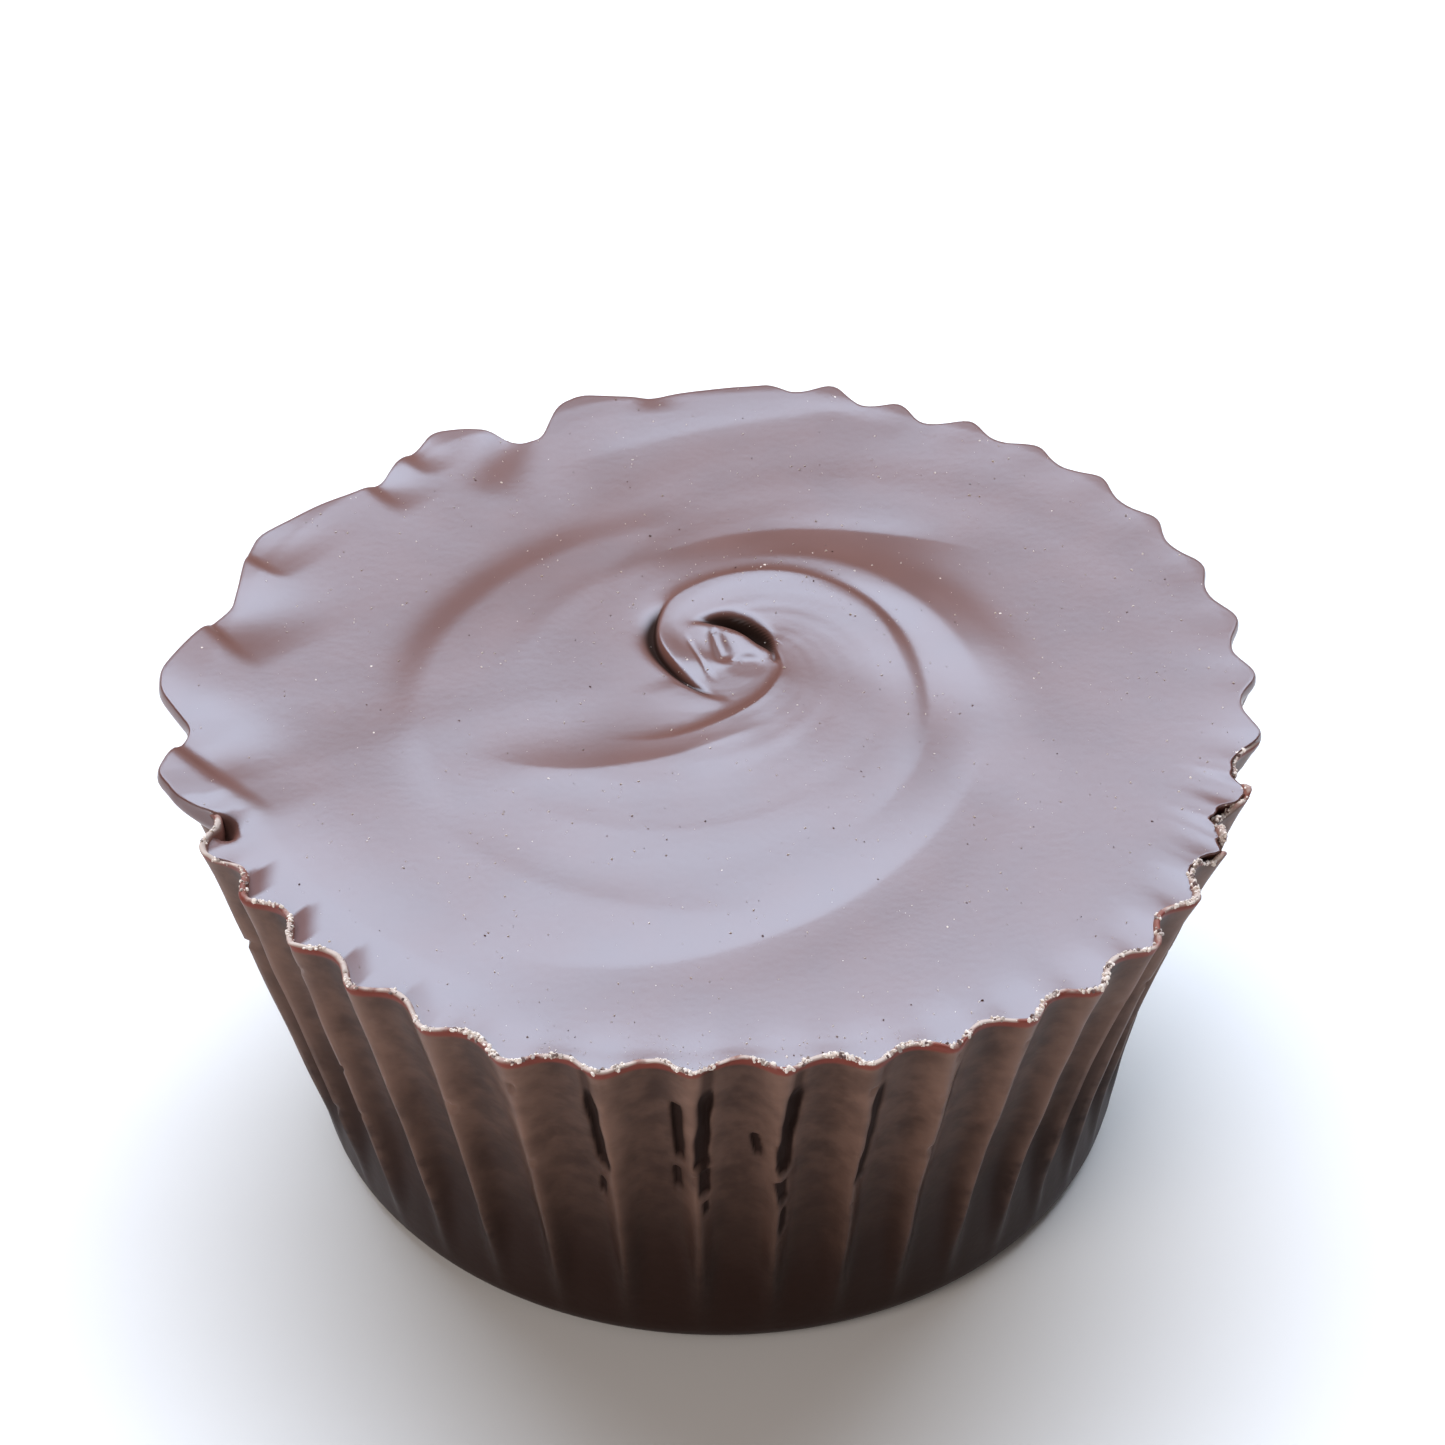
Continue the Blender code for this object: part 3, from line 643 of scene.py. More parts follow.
# Each fold: first and last bearing about the swirl's centre; its sharpness, low in a crease and 2 in a
# round fold; at even steps between the bearings its radii; its heights, negative in a groove; and its
# widths towards the centre and away from it. All are in millimetres or degrees.
folds = {
    "curlCrest": (
        (325, 600), 1.4, (10.2, 7.95, 7.45, 6.85, 5.95, 4.85, 3.2, 2.45, 2.5),
        (0.03, 0.13, 0.16, 0.14, 0.12, 0.17, 0.24, 0.2, 0.1),
        (1.8, 1.6, 1.6, 1.2), (0.75, 0.4, 0.34, 0.22),
    ),
    "curlGroove": (
        (282, 440), 1.5, (14.5, 11.8, 9.6, 8.35, 7.5, 7),
        (-0.03, -0.08, -0.25, -0.2, -0.08, -0.02), (0.7, 0.6, 0.35), (1.4, 2.6, 0.8, 0.3),
    ),
    "pocket": (
        (118, 262), 1.3, (5.75, 4.35, 3.15, 2.72, 3.1),
        (-0.08, -0.4, -0.32, -0.2, -0.06), (0.13, 0.13), (0.18, 0.42, 0.2, 0.12, 0.1),
    ),
    "pocketBank": (
        (200, 272), 1.8, (3.7, 3.2, 3.1, 3.5),
        (0.03, 0.07, 0.09, 0.05), (0.25, 0.3), (1.6, 1.3),
    ),
    "hollow": (
        (-50, 130), 1.5, (2.35, 1.95, 1.95, 2.25, 2.9, 3.5),
        (-0.1, -0.13, -0.2, -0.8, -0.85, -0.5),
        (0.1, 0.1, 0.12, 0.32, 0.26, 0.09), (0.12, 0.12, 0.13, 0.31, 0.36, 0.14),
    ),
    "flap": (
        (10, 128), 2.0, (1.2, 1.35, 1.6, 2.0, 3.0),
        (0.06, 0.08, 0.12, 0.14, 0.12), (0.9, 1.3), (0.2, 0.2),
    ),
    "innerArm": (
        (219, 352), 1.2, (8.9, 6.6, 4.25, 3.15, 2.55, 2.2, 1.85),
        (0.03, 0.04, 0.05, 0.05, 0.05, 0.05, 0.04), (0.55, 0.3), (0.8, 0.5),
    ),
    "outerArm": (
        (206, 290), 1.2, (14.8, 12, 9, 6.9, 5.7, 5.1),
        (0.05, 0.09, 0.12, 0.11, 0.07, 0.03), (2.2, 1.5, 0.9), (2.4, 1.6),
    ),
    "secondCrest": (
        (342, 452), 1.6, (12.6, 10.9, 9.75, 9, 8.25, 7.6),
        (0.02, 0.045, 0.06, 0.06, 0.04, 0.015), (2, 0.6), (0.6, 0.45),
    ),
    "frontSlope": (
        (219, 436), 1.5, (9.2, 4.9, 3, 2.4, 2.1, 2.1),
        (0.04, 0.25, 0.29, 0.2, 0.12, 0.05), (0.9, 0.26, 0.26), (6, 6.2, 5),
    ),
    "leftRoll": (
        (196, 320), 1.6, (14.5, 10.8, 7.4, 5.8),
        (0.03, 0.08, 0.06, 0.03), (2.6, 2.6), (5.5, 6.5),
    ),
    "sill": (
        (325, 520), 2.0, (13, 10.9, 9.4, 8.1, 7.2, 6, 5.6),
        (0.07, 0.21, 0.3, 0.29, 0.2, 0.09, 0.03), (3.4, 5, 4), (2.4, 2.2, 2.3, 2.2),
    ),
    "outerBand": (
        (350, 520), 2.0, (22.5, 18.6, 15.4, 13.6, 12.6, 12),
        (0.015, 0.02, 0.015, 0.015, 0.015, 0.01), (3.2, 1.8), (2.6, 1.6),
    ),
    "leftStep": (
        (84, 228), 2.0, (10.9, 10.7, 11.3, 12.5, 14.2, 15.7, 17),
        (0.02, 0.05, 0.13, 0.24, 0.28, 0.2, 0.06), (3, 6, 8, 8), (1.3, 1.4, 1.6),
    ),
    "leftStreak": (
        (100, 190), 1.8, (8.4, 8.6, 9.4, 10.6),
        (0.01, 0.02, 0.02, 0.01), (0.9, 0.9), (0.7, 0.7),
    ),
    "backValley": (
        (60, 122), 1.5, (22.9, 19.4, 17.6, 17.0),
        (-0.02, -0.045, -0.045, -0.02), (3, 3), (1, 1),
    ),
    "frontCrease": (
        (236, 342), 1.3, (24.2, 22, 18.9, 16.2, 14.2, 12.7),
        (-0.08, -0.16, -0.24, -0.22, -0.14, -0.04), (2.4, 1.6), (6, 5),
    ),
    "frontRoll": (
        (222, 300), 1.4, (14.6, 13.8, 12.6, 11.2, 9.8),
        (0.02, 0.03, 0.03, 0.025, 0.015), (1.2, 0.8), (2.4, 1.6),
    ),
    "frontEdge": (
        (212, 280), 1.5, (18.4, 18.4, 18.2, 17.6),
        (0.015, 0.03, 0.03, 0.015), (1.2, 0.9), (2.4, 2.0),
    ),
    "leftRim": (
        (188, 250), 1.8, (24, 24.6, 25, 25.4),
        (0.06, 0.19, 0.18, 0.05), (7, 7), (1.6, 1.6),
    ),
    "backCrease": (
        (30, 128), 1.2, (15.3, 12.2, 10.3, 9.2, 8.6),
        (-0.03, -0.09, -0.08, -0.04, -0.01), (1.8, 1.5), (1.9, 1.2, 0.9, 0.6),
    ),
}
foldFade = 0.22  # share of a fold over which either end fades
crestRounding = 0.04  # millimetres
dimple = {"place": (0.60, -0.46), "radius": 0.84, "depth": 0.075, "sharp": 6}  # deepest at its back edge
# Straight creases: start and end in millimetres from the swirl's centre, depth (a ridge is negative), left
# and right width
creases = {
    "notch": ((-1.15, 2.95), (-0.36, -0.35), 0.28, 0.45, 0.30),
    "bandTop": ((-2.9, 2.2), (-0.2, 2.5), -0.045, 0.70, 1.4),
    "loop": ((-2.45, 1.95), (-0.90, -1.80), 0.06, 0.12, 0.12),
    "leftShelf": ((-18.0, -10.6), (-2.6, -5.0), -0.09, 7.0, 5.5),
}
streaks = {
    "height": 0.006 * mm,
    "size": 2.5,
    "seed": 21,
    "drift": 0.38,  # how tightly they wind
    "stretch": (10, 6),  # across and along the flow
    "from": (1 * mm, 6 * mm),  # least distance from the centre, and where they are full
    "bearings": (225, 525),
    "fade": 0.12,
}


def sharesAlong(bearing, bearings):  # how far along a run of bearings, on its first and second turn
    first, last = bearings
    return [(turns, (bearing + turns - first) / (last - first)) for turns in (0, 360)]


def foldHeight(fold, distance, bearing):
    bearings, sharp, radii, heights, inside, outside = fold
    height = np.zeros_like(distance)
    for _, share in sharesAlong(bearing, bearings):
        within = (share >= 0) & (share <= 1)
        off = distance / mm - along(radii, share)
        width = np.where(off < 0, along(inside, share), along(outside, share))
        off = np.sqrt(off**2 + crestRounding**2) - crestRounding
        bell = np.exp(-((off / width) ** sharp))
        height += np.where(within, along(heights, share) * bell * fadeEnds(share, foldFade), 0.0)
    return height * mm


def streakHeight(distance, bearing):  # fine lines drawn out along the flow
    height = np.zeros_like(distance)
    nearest, full = streaks["from"]
    across, lengthways = streaks["stretch"]
    for turns, share in sharesAlong(bearing, streaks["bearings"]):
        unwound = np.log(np.maximum(distance, nearest) / (10 * mm))
        unwound += streaks["drift"] * np.radians(bearing + turns)
        flow = np.stack([unwound * across, share * lengthways, 0 * share], axis=-1)
        height += fadeEnds(share, streaks["fade"]) * ripple(flow, streaks["size"], streaks["seed"])
    return streaks["height"] * height * ease(distance / full)


def swirlPlace(x, y):  # from the swirl's centre: across, towards the back, distance and bearing
    dx, dy = x - top["swirlCentre"][0], y - top["swirlCentre"][1]
    distance, bearing = polar(dx, dy)
    return dx, dy, distance, bearing % 360


def dimpleDepth(dx, dy):
    fromX, fromY = (dx / mm - dimple["place"][0], dy / mm - dimple["place"][1])
    out = np.hypot(fromX, fromY) / dimple["radius"]
    towardsBack = 0.5 * (1 + fromY / dimple["radius"])
    return dimple["depth"] * towardsBack * np.exp(-(out ** dimple["sharp"])) * mm


def swirlHeight(x, y):
    dx, dy, distance, bearing = swirlPlace(x, y)
    height = sum(foldHeight(fold, distance, bearing) for fold in folds.values())
    height -= sum(creaseDepth(crease, dx / mm, dy / mm) for crease in creases.values()) * mm
    return height - dimpleDepth(dx, dy) + streakHeight(distance, bearing)


def deepShare(x, y):  # how deep in the curl's hollows, where no light gets
    _, _, distance, bearing = swirlPlace(x, y)
    depth = -sum(foldHeight(folds[name], distance, bearing) for name in ("pocket", "hollow"))
    pit = overflow["pit"]
    fromPit = np.hypot(x / mm - pit["place"][0], y / mm - pit["place"][1]) / pit["half"][0]
    return ease(depth / top["darkDepth"]) + top["pitDark"] * np.exp(-(fromPit**6))


shadedLipFaces = {  # painted shade of the lip's bare inner faces, painted on the pool beside the lip, where the top set low and the lip turns outwards
    "width": 1.9 * mm,
    "spans": ((214, 28, 1.2),),  # angle, half width and amount
    "step": 0.8,  # degrees either way, over which the turn is measured
    "fullTurn": 0.13 * mm,  # that the lip moves outwards over them where it faces the front fully
    "softness": 1.6,
}


# How much of that painted shade each point of the pool takes
def shadedLipFaceShare(x, y, lip):
    reach, angle = polar(x, y)
    step = shadedLipFaces["step"]
    turning = ease((lip["middle"](angle + step) - lip["middle"](angle - step)) / shadedLipFaces["fullTurn"])
    fromLip = (lip["middle"](angle) - reach) / (shadedLipFaces["width"] * turning + 1e-9)
    share = np.clip(bumps(angle, shadedLipFaces["spans"]), 0, 1)
    return share * turning * ease(shadedLipFaces["softness"] * (1 - fromLip))


def leanIn(angle, below):  # how far the wall has come in by that depth below the rim
    return plainRadius(angle, cup["rimHeight"]) - plainRadius(angle, cup["rimHeight"] - below)


def poolDrop(angle, inwards, lip):  # of the pool below the lip
    bare, bent = bareCover(angle), bentOut(angle, lip)
    centre, width, further, length = top["lowPool"]
    low = bump(angle, centre, width)
    drop = bare * top["poolDrop"] * np.exp(-inwards / top["meniscus"])
    drop += bare * further * low * np.exp(-((inwards / length) ** 2))
    kept = top["pocketKept"] + (1 - top["pocketKept"]) * bare
    pocket = ease(0.5 + 0.5 * bent) * (1 - overflowCover(angle)) * kept * (1 - top["pocketLost"] * low)
    drop += top["pocketDrop"] * pocket * np.exp(-((inwards / top["pocketLength"]) ** 2))
    return drop - top["climb"] * bare * ease(-bent) * np.exp(-inwards / top["climbLength"])


def rimPlace(angle, lip):  # radius of the top's edge
    inside = lip["middle"](angle) - leanIn(angle, poolDrop(angle, 0.0, lip))
    run = overflowCover(angle) * overflowRadius(angle)
    return bareCover(angle) * inside + levelCover(angle) * lip["outer"](angle) + run


def bentOut(angle, lip):  # from -1 to 1, how far the lip is bent outwards there
    return np.tanh((lip["middle"](angle) - lip["smooth"](angle)) / top["bend"])


def topRing(angle, share, lip):  # a ring of the top, at that share of the way out from the swirl's centre
    angle = angle + np.degrees(top["twist"] * max(0.0, np.log(top["twistFrom"] / share)))
    even = cup["rimRadius"] - top["evenInset"]
    rim = even + (rimPlace(angle, lip) - even) * ease((share - top["twistFrom"]) / (1 - top["twistFrom"]))
    centreX, centreY = top["swirlCentre"]
    x = centreX + share * (rim * np.cos(np.radians(angle)) - centreX)
    y = centreY + share * (rim * np.sin(np.radians(angle)) - centreY)
    inwards = lip["smooth"](angle) - np.hypot(x, y)
    dome = top["domeRise"] * (1 - (np.hypot(x, y) / cup["rimRadius"]) ** top["domePower"])
    risen = overflow["rise"] * np.clip(1 - inwards / overflow["riseLength"], 0, 1) ** 2
    lobe = spanShare(angle, overflow["riseSpan"]) * risen - valleyDepth(x, y)
    swirl = swirlHeight(x, y) * ease(inwards / top["meniscus"])
    height = cup["rimHeight"] + dome + lobe - poolDrop(angle, inwards, lip) + swirl
    return np.stack([x, y, height], axis=1)


def topEdgeRings(angle, lip, edge):  # the swollen edge where the top runs over the lip, or a hidden skirt
    over, bare = overflowCover(angle), bareCover(angle)
    rounding = overflow["rounding"] * over + overflow["levelRounding"] * (1 - over)
    rim = rimPlace(angle, lip)
    inset, fullAt = top["skirtInset"]
    rings = []
    for turn, below in zip(top["edgeTurns"], top["skirt"]):
        swell = rounding * np.sin(np.radians(min(turn, 90)))
        tuck = rounding * (1 - np.sin(np.radians(turn))) if turn > 90 else 0.0
        down = rounding * (1 - np.cos(np.radians(turn)))
        swollen = rim + overflow["swell"] * swell - tuck
        hidden = rim - leanIn(angle, below * mm) - inset * min(1, below / fullAt)
        height = edge[:, 2] - bare * below * mm - (1 - bare) * down
        rings.append(ringPoints(bare * hidden + (1 - bare) * swollen, angle, height))
    return rings


def readLip(wallPiece, outer):  # radius of the lip as functions of the angle
    lip = {
        "outer": ringRadius(wallPiece, outer),
        "middle": ringRadius(wallPiece, outer + top["lipMiddle"]),
    }
    around = np.linspace(0, 360, top["lipSteps"])
    half = 180 / wall["flutes"]["Flute Count"]
    offsets = np.linspace(-half, half, top["lipSamples"] + 1)[:-1]
    smoothed = np.mean([lip["middle"](around + off) for off in offsets], axis=0)
    lip["smooth"] = lambda angles: np.interp(np.asarray(angles) % 360, around, smoothed)
    return lip


def makeTop(wallPiece, outer):
    angle = np.arange(top["segments"]) * 360 / top["segments"]
    lip = readLip(wallPiece, outer)
    edge = topRing(angle, 1.0, lip)
    depth, inset = top["under"]
    under = cup["rimHeight"] - depth
    bottom = ringPoints(lip["middle"](angle) - leanIn(angle, depth) - inset, angle, under)
    rings = [ringPoints(0.0, angle[:1], under), bottom, *topEdgeRings(angle, lip, edge)[::-1], edge]
    for first, last, count, every in top["rings"]:
        rings += [topRing(angle[::every], share, lip) for share in np.linspace(first, last, count)]
    rings += [topRing(angle[:1], 1e-6, lip)]
    mesh = meshFromRings("swirlTop", rings)
    x, y, z = pointsFromAxis(mesh).T
    # Painted shade beside the lip, and in the curl's hollows
    setAttribute(mesh, "shadedLipFace", shadedLipFaceShare(x, y, lip) * (z > top["shownFrom"]))
    setAttribute(mesh, "deep", deepShare(x, y) * (z > top["shownFrom"]))
    return addPiece("swirlTop", mesh)


# Crumbs of scraped chocolate on the lip, and specks on the top
crumbs = {
    "rimCrumbs": {
        "Density": 190e6, "Smallest": 0.035 * mm, "Largest": 0.155 * mm, "Flatness": 0.8, "Seed": 3,
    },
    "topSpecks": {
        "Density": 3.4e6, "Smallest": 0.022 * mm, "Largest": 0.080 * mm, "Flatness": 0.45, "Seed": 8,
    },
}
lumps = {
    "turn": 6.283,  # most, round each axis
    "shape": ((0.7, 0.7, 0.6), (1.3, 1.1, 1.0)),  # least and most, along each axis
    "smallness": 2.2,  # a higher power makes more of them small
}
crumbliness = {  # of the lip
    "everywhere": 0.20,
    "spans": (  # angle, half width, how much more
        (246, 8, 1.0),
        (262, 10, 0.7),
        (282, 16, 0.7),
        (306, 16, 0.3),
        (330, 10, 0.5),
        (344, 10, 1.0),
        (220, 18, 0.4),
    ),
    "clumps": (0.45, 0.8, 1.1 * mm, 31),
    "levelLoss": 0.8,  # where the top runs level over it
}
speckling = {  # of the top: sparse all over, denser near the front of the lip and on the curl
    "from": (21.4 * mm, 0.4 * mm),  # lowest height, and its fade
    "edge": (25.6 * mm, 0.8 * mm),  # farthest out, and its fade
    "clumps": (0.25, 0.6, 5 * mm, 32),
    "nearLip": (21.5 * mm, 3 * mm, 272, 34),  # from how far out, its fade, angle and half width
    "onCurl": (7 * mm, 1.2 * mm, 80, 70),  # distance from the swirl's centre, width, angle, half width
    "amounts": (0.12, 0.25, 1.8, 0.7),  # everywhere, in clumps, near the lip, on the curl
}


def scatterTree():  # small rough lumps strewn where the attribute "crumbly" says
    kinds = {"Density": "Float", "Smallest": "Float", "Largest": "Float", "Flatness": "Float", "Seed": "Int"}
    g = geometryTree("strewnCrumbs", kinds)
    given = g.node("NodeGroupInput")

    def drawn(step, low, high):  # a number or vector for each lump
        vector = isinstance(low, tuple)
        first = 0 if vector else 2
        settings = {"data_type": "FLOAT_VECTOR" if vector else "FLOAT"}
        inputs = {first: low, first + 1: high, "Seed": given.other("Seed") + step}
        return g.node("FunctionNodeRandomValue", settings, inputs, 0 if vector else 1)

    density = given.other("Density") * g.named("crumbly")
    spread = {"Mesh": given, "Density": density, "Seed": given.other("Seed")}
    points = g.node("GeometryNodeDistributePointsOnFaces", None, spread)
    lump = g.node("GeometryNodeMeshIcoSphere", None, {"Radius": 1.0, "Subdivisions": 1})
    turn = drawn(0, (0.0, 0.0, 0.0), (lumps["turn"],) * 3)
    smallest, largest = given.other("Smallest"), given.other("Largest")
    radius = smallest + (largest - smallest) * drawn(1, 0.0, 1.0) ** lumps["smallness"]
    shape = drawn(2, *lumps["shape"])
    flat = {"X": radius, "Y": radius, "Z": radius * given.other("Flatness")}
    flat = g.node("ShaderNodeCombineXYZ", None, flat)
    size = g.node("ShaderNodeVectorMath", {"operation": "MULTIPLY"}, {0: shape, 1: flat})
    put = {"Points": points, "Instance": lump, "Rotation": turn, "Scale": size}
    strewn = g.node("GeometryNodeInstanceOnPoints", None, put)
    marked = g.mark(strewn, "tone", drawn(3, 0.0, 1.0), "INSTANCE")
    return g.close(marked, given.other("Material"))


def crumblyLip(mesh):  # how much of the scraped lip is crumbly
    points = pointsFromAxis(mesh)
    angle = polar(points[:, 0], points[:, 1])[1]
    amount = crumbliness["everywhere"] + bumps(angle, crumbliness["spans"])
    covered = crumbliness["levelLoss"] * levelCover(angle) + overflowCover(angle)
    clumped = patches(points, *crumbliness["clumps"])
    return readAttribute(mesh, "scraped") * amount * clumped * np.clip(1 - covered, 0, 1)


def crumblyTop(mesh):
    points = pointsFromAxis(mesh)
    reach, angle = polar(points[:, 0], points[:, 1])
    lowest, fade = speckling["from"]
    farthest, edgeFade = speckling["edge"]
    shown = ease((points[:, 2] - lowest) / fade) * ease((farthest - reach) / edgeFade)
    start, lipFade, centre, width = speckling["nearLip"]
    nearLip = ease((reach - start) / lipFade) * bump(angle, centre, width)
    away, curlWidth, centre, width = speckling["onCurl"]
    distance = swirlPlace(points[:, 0], points[:, 1])[2]
    onCurl = np.exp(-(((distance - away) / curlWidth) ** 2)) * bump(angle, centre, width)
    kinds = (1.0, patches(points, *speckling["clumps"]), nearLip, onCurl)
    return shown * sum(amount * kind for amount, kind in zip(speckling["amounts"], kinds))


def makeCrumbs(name, carrier, crumbly, material):
    mesh = carrier.data.copy()
    setAttribute(mesh, "crumbly", crumbly(mesh))
    values = {**crumbs[name], "Material": material}
    return addPiece(name, throughNodes(name, mesh, scatterTree(), values))


# Finishes

finish = {
    "topBrown": (0.135, 0.048, 0.032, 1.0),
    "topShade": (0.120, 0.042, 0.028, 1.0),
    "sheen": (0.80, 0.90, 1.0, 1.0),
    # Painted light and shade: the wall's lit colour up high and its shaded colour low down; the shaded colour
    # also serves the random mottle and the painted shade in the flutes
    "wallLitHigh": (0.185, 0.100, 0.070, 1.0),
    "wallShadeAndMottle": (0.022, 0.008, 0.005, 1.0),
    # Worn seams, with a painted highlight where they catch the light
    "ridgeWornAndLit": (0.20, 0.115, 0.085, 1.0),
    "redEdge": (0.200, 0.034, 0.022, 1.0),
    "innerLip": (0.240, 0.095, 0.070, 1.0),
    # Painted shade of the lip's inner faces, on the pool
    "shadedLipFace": (0.120, 0.046, 0.038, 1.0),
    # Painted shade in the wall's voids and in the top's deep hollows
    "hollow": (0.020, 0.008, 0.005, 1.0),
    "scraped": (0.52, 0.41, 0.35, 1.0),
    "crumb": (0.78, 0.66, 0.57, 1.0),
    "crumbDark": (0.10, 0.045, 0.035, 1.0),
    "topRoughness": 0.30,
    "topUneven": 0.04,  # of its roughness, by the broad noise
    "wallRoughness": 0.42,
    "wallUneven": (0.15, 0.1, 0.3, 0.4),  # by the broad noise, and where worn and lit, pale and hollow
    "crumbRoughness": 0.6,
    "topSpecular": 0.9,
    "wallSpecular": 0.14,
    # Parts of the top with painted shade, dull and dark: attribute, colour, roughness and specular level
    "shadedParts": (("shadedLipFace", "shadedLipFace", 0.6, 0.3), ("deep", "hollow", 0.8, 0.1)),
    # Noise values, heights or widths between which a colour comes in, and the most of it
    "topShades": (0.3, 0.7),
    "crumbTones": (0.02, 0.45),
    # Painted shade: between these heights the wall goes from shaded at the bottom to lit at the top, unevenly
    # by a broad noise
    "wallRise": (4 * mm, 19 * mm),
    "wallRiseUneven": 6 * mm,
    "mottled": (0.42, 0.75, 0.45),
    # Painted shade in the flute hollows, and random darker patches
    "fluteShade": 0.60,
    "patchShade": (0.35, 0.65, 0.20),
    "wornPatches": (0.30, 0.62),
    "wornHeights": (2 * mm, 7 * mm),
    # Painted highlight on the seams, growing from the middle out to the left and right sides
    "ridgeLitSides": (6 * mm, 17 * mm),
    "ridgeLitMiddle": 0.25,  # share, at the middle, of the painted highlight that shows at the sides
    "wornAndLitMost": 0.6,
    "redHeights": (22.30 * mm, 22.55 * mm, 0.8),
    "palePatches": (0.36, 0.54),
    "grainDepths": (0.004 * mm, 0.010 * mm),  # on the top and on the wall
    # Scale and detail of each noise
    "topBroad": (230.0, 2.0),
    "topGrain": (2600.0, 1.0),
    "wallBroad": (240.0, 4.0),
    "wallGrain": (2200.0, 1.0),
    "wallPatches": (900.0, 5.0),
    "wallMottle": (520.0, 5.0),
}


def newMaterial(name):
    material = bpy.data.materials.new(name)
    material.use_nodes = True
    material.node_tree.nodes.clear()
    return material, Graph(material.node_tree)


def withSurface(material, g, shader):
    g.node("ShaderNodeOutputMaterial", None, {"Surface": shader})
    return material


def topChocolate():
    material, g = newMaterial("topChocolate")
    place = g.node("ShaderNodeTexCoord", None, None, "Object")
    broad = g.noise(place, *finish["topBroad"])
    surface = g.principled({
        "Base Color": g.blend(g.smooth(broad, *finish["topShades"]), finish["topShade"], finish["topBrown"]),
        "Roughness": finish["topRoughness"] + (broad - 0.5) * finish["topUneven"],
        "Normal": g.bumped(g.noise(place, *finish["topGrain"]), finish["grainDepths"][0]),
        "Specular IOR Level": finish["topSpecular"],
        "Specular Tint": finish["sheen"],
    })
    # Painted shade: dull dark shaders mixed in beside the lip and in the curl's hollows
    for attribute, colour, roughness, specular in finish["shadedParts"]:
        inputs = {"Base Color": finish[colour], "Roughness": roughness, "Specular IOR Level": specular}
        surface = g.mixed(g.attribute(attribute), surface, g.principled(inputs))
    return withSurface(material, g, surface)


def wallChocolate():
    material, g = newMaterial("wallChocolate")
    place = g.node("ShaderNodeTexCoord", None, None, "Object")
    across = g.node("ShaderNodeSeparateXYZ", None, {"Vector": place})
    height = across.other("Z")
    broad = g.noise(place, *finish["wallBroad"])
    patch = g.noise(place, *finish["wallPatches"])
    mottle = g.noise(place, *finish["wallMottle"])
    # Painted shade in the flute hollows between the ridges, plus random darker patches
    shaded = (1.0 - g.attribute("ridge")) * finish["fluteShade"] + g.smooth(patch, *finish["patchShade"])
    # Worn seams with a painted highlight, fainter at the middle than at the sides, where they catch the light
    least = finish["ridgeLitMiddle"]
    litSides = least + (1 - least) * g.smooth(g.math("ABSOLUTE", across), *finish["ridgeLitSides"])
    shown = g.smooth(patch, *finish["wornPatches"]) * g.smooth(height, *finish["wornHeights"]) * litSides
    wornAndLit = g.attribute("crest") * shown
    # Painted shade in the voids
    hollow = g.attribute("hollow")
    pale = g.attribute("scraped") * g.smooth(patch, *finish["palePatches"])
    # Painted shade: darker towards the bottom, lighter towards the top
    risen = g.smooth(height + (broad - 0.5) * finish["wallRiseUneven"], *finish["wallRise"])
    base = g.blend(risen, finish["wallShadeAndMottle"], finish["wallLitHigh"])
    for share, colour in (  # each over those before it
        (g.smooth(mottle, *finish["mottled"]), "wallShadeAndMottle"),
        (shaded, "wallShadeAndMottle"),
        (wornAndLit * finish["wornAndLitMost"], "ridgeWornAndLit"),
        (g.smooth(height, *finish["redHeights"]), "redEdge"),
        (g.attribute("inside"), "innerLip"),
        (hollow, "hollow"),
        (pale, "scraped"),
    ):
        base = g.blend(share, base, finish[colour])
    causes = zip((broad - 0.5, wornAndLit, pale, hollow), finish["wallUneven"])
    return withSurface(material, g, g.principled({
        "Base Color": base,
        "Roughness": sum((cause * amount for cause, amount in causes), finish["wallRoughness"]),
        "Normal": g.bumped(g.noise(place, *finish["wallGrain"]), finish["grainDepths"][1]),
        "Specular IOR Level": finish["wallSpecular"],
    }))


def crumbChocolate():
    material, g = newMaterial("crumbChocolate")
    tone = g.smooth(g.attribute("tone"), *finish["crumbTones"])
    base = g.blend(tone, finish["crumbDark"], finish["crumb"])
    return withSurface(material, g, g.principled({"Base Color": base, "Roughness": finish["crumbRoughness"]}))


# Floor, light and camera

studio = {
    "floorHalf": 1.5,
    "floorColour": (0.90, 0.87, 0.84, 1.0),
    "floorRoughness": 0.9,
    "skyColour": (1.0, 0.94, 0.93, 1.0),
    "skyStrength": 0.14,
    "lights": {  # place, size, power and colour
        "backLight": ((0.0, 0.33, 0.57), (1.0, 0.42), 10.8, (0.74, 0.85, 1.0)),
        "lowLight": ((0.0, 0.60, 0.26), (1.0, 0.24), 0.25, (1.0, 0.80, 0.80)),
        "frontLight": ((-0.38, -0.50, 0.38), (0.4, 0.4), 2.2, (1.0, 0.93, 0.88)),
    },
    "target": (0.55 * mm, -0.13 * mm, 22.83 * mm),
    "elevation": 40.016,
    "distance": 280.5 * mm,
    "lens": 147.54,
    "sensor": 36,
    "clipFrom": 0.01,
    "shift": (0.0025, -0.0087),
}


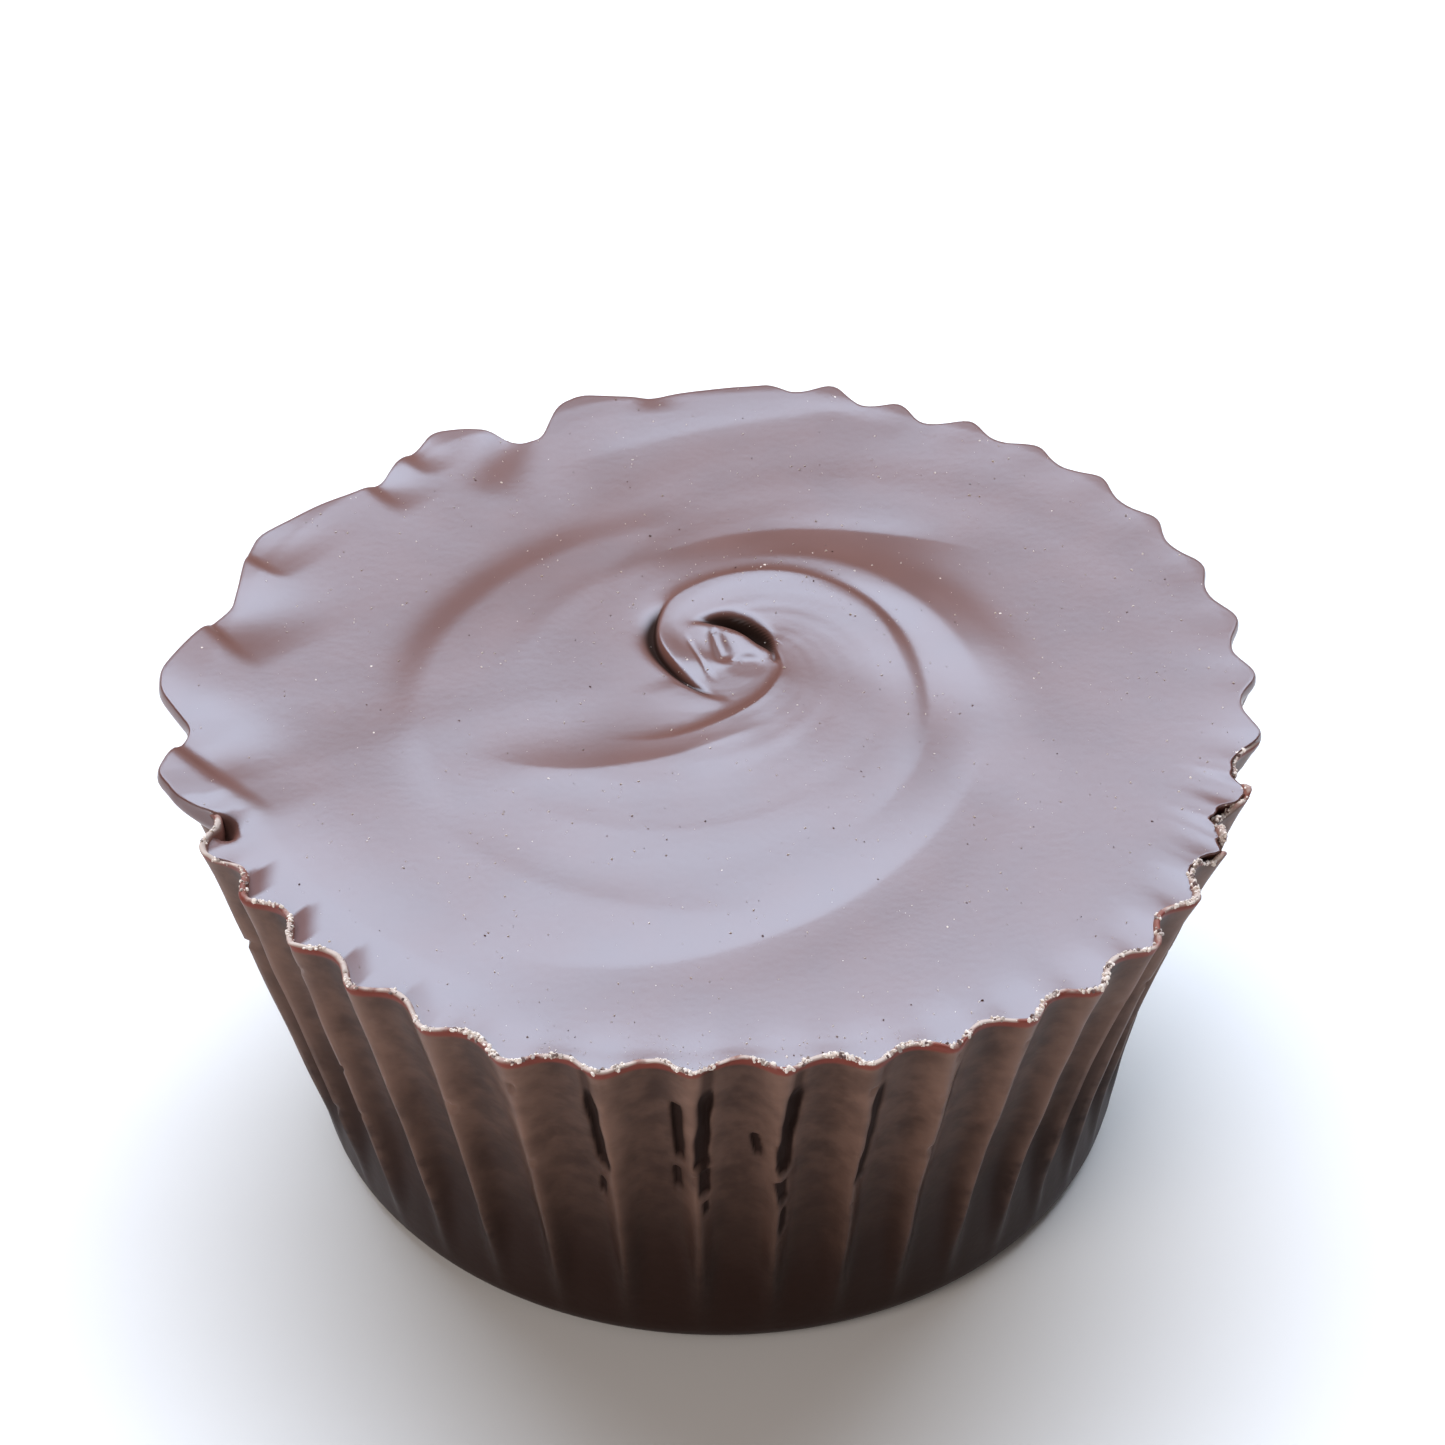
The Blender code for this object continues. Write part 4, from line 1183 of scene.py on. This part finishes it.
def makeFloor():
    half = studio["floorHalf"]
    corners = ((-half, -half, 0), (half, -half, 0), (half, half, 0), (-half, half, 0))
    mesh = bpy.data.meshes.new("floor")
    mesh.from_pydata(corners, (), ((0, 1, 2, 3),))
    material, g = newMaterial("palePaper")
    shader = g.principled({"Base Color": studio["floorColour"], "Roughness": studio["floorRoughness"]})
    mesh.materials.append(withSurface(material, g, shader))
    addPiece("floor", mesh)


def aim(thing, place, target):
    way = Vector(target) - Vector(place)
    thing.matrix_world = Matrix.Translation(place) @ way.to_track_quat("-Z", "Y").to_matrix().to_4x4()


def makeLight(name, place, size, power, colour):
    data = bpy.data.lights.new(name, "AREA")
    data.shape = "RECTANGLE"
    data.size, data.size_y = size
    data.energy = power
    data.color = colour
    aim(addPiece(name, data), place, studio["target"])


def makeStudio():
    makeFloor()
    world = bpy.data.worlds.new("softSky")
    world.use_nodes = True
    sky = world.node_tree.nodes["Background"]
    sky.inputs["Color"].default_value = studio["skyColour"]
    sky.inputs["Strength"].default_value = studio["skyStrength"]
    bpy.context.scene.world = world
    for name, light in studio["lights"].items():
        makeLight(name, *light)
    data = bpy.data.cameras.new("camera")
    data.lens = studio["lens"]
    data.sensor_width = studio["sensor"]
    data.shift_x, data.shift_y = studio["shift"]
    data.clip_start = studio["clipFrom"]
    camera = addPiece("camera", data)
    rise = np.radians(studio["elevation"])
    back = Vector((0, -np.cos(rise), np.sin(rise)))
    aim(camera, Vector(studio["target"]) + back * studio["distance"], studio["target"])
    bpy.context.scene.camera = camera
    bpy.context.scene.view_settings.view_transform = "Standard"


# Making it all
wallPiece, outerRing = makeWall(wallChocolate())
print("wall:", len(wallPiece.data.polygons), "faces")
topPiece = makeTop(wallPiece, outerRing)
topPiece.data.materials.append(topChocolate())
print("top:", len(topPiece.data.polygons), "faces")
pale = crumbChocolate()
rimCrumbs = makeCrumbs("rimCrumbs", wallPiece, crumblyLip, pale)
topSpecks = makeCrumbs("topSpecks", topPiece, crumblyTop, pale)
print("crumbs:", len(rimCrumbs.data.polygons), "and", len(topSpecks.data.polygons), "faces")
for piece in (wallPiece, topPiece, rimCrumbs, topSpecks):
    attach(piece, "root")
    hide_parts("chocolate_cup")
makeStudio()
print("studio ready")
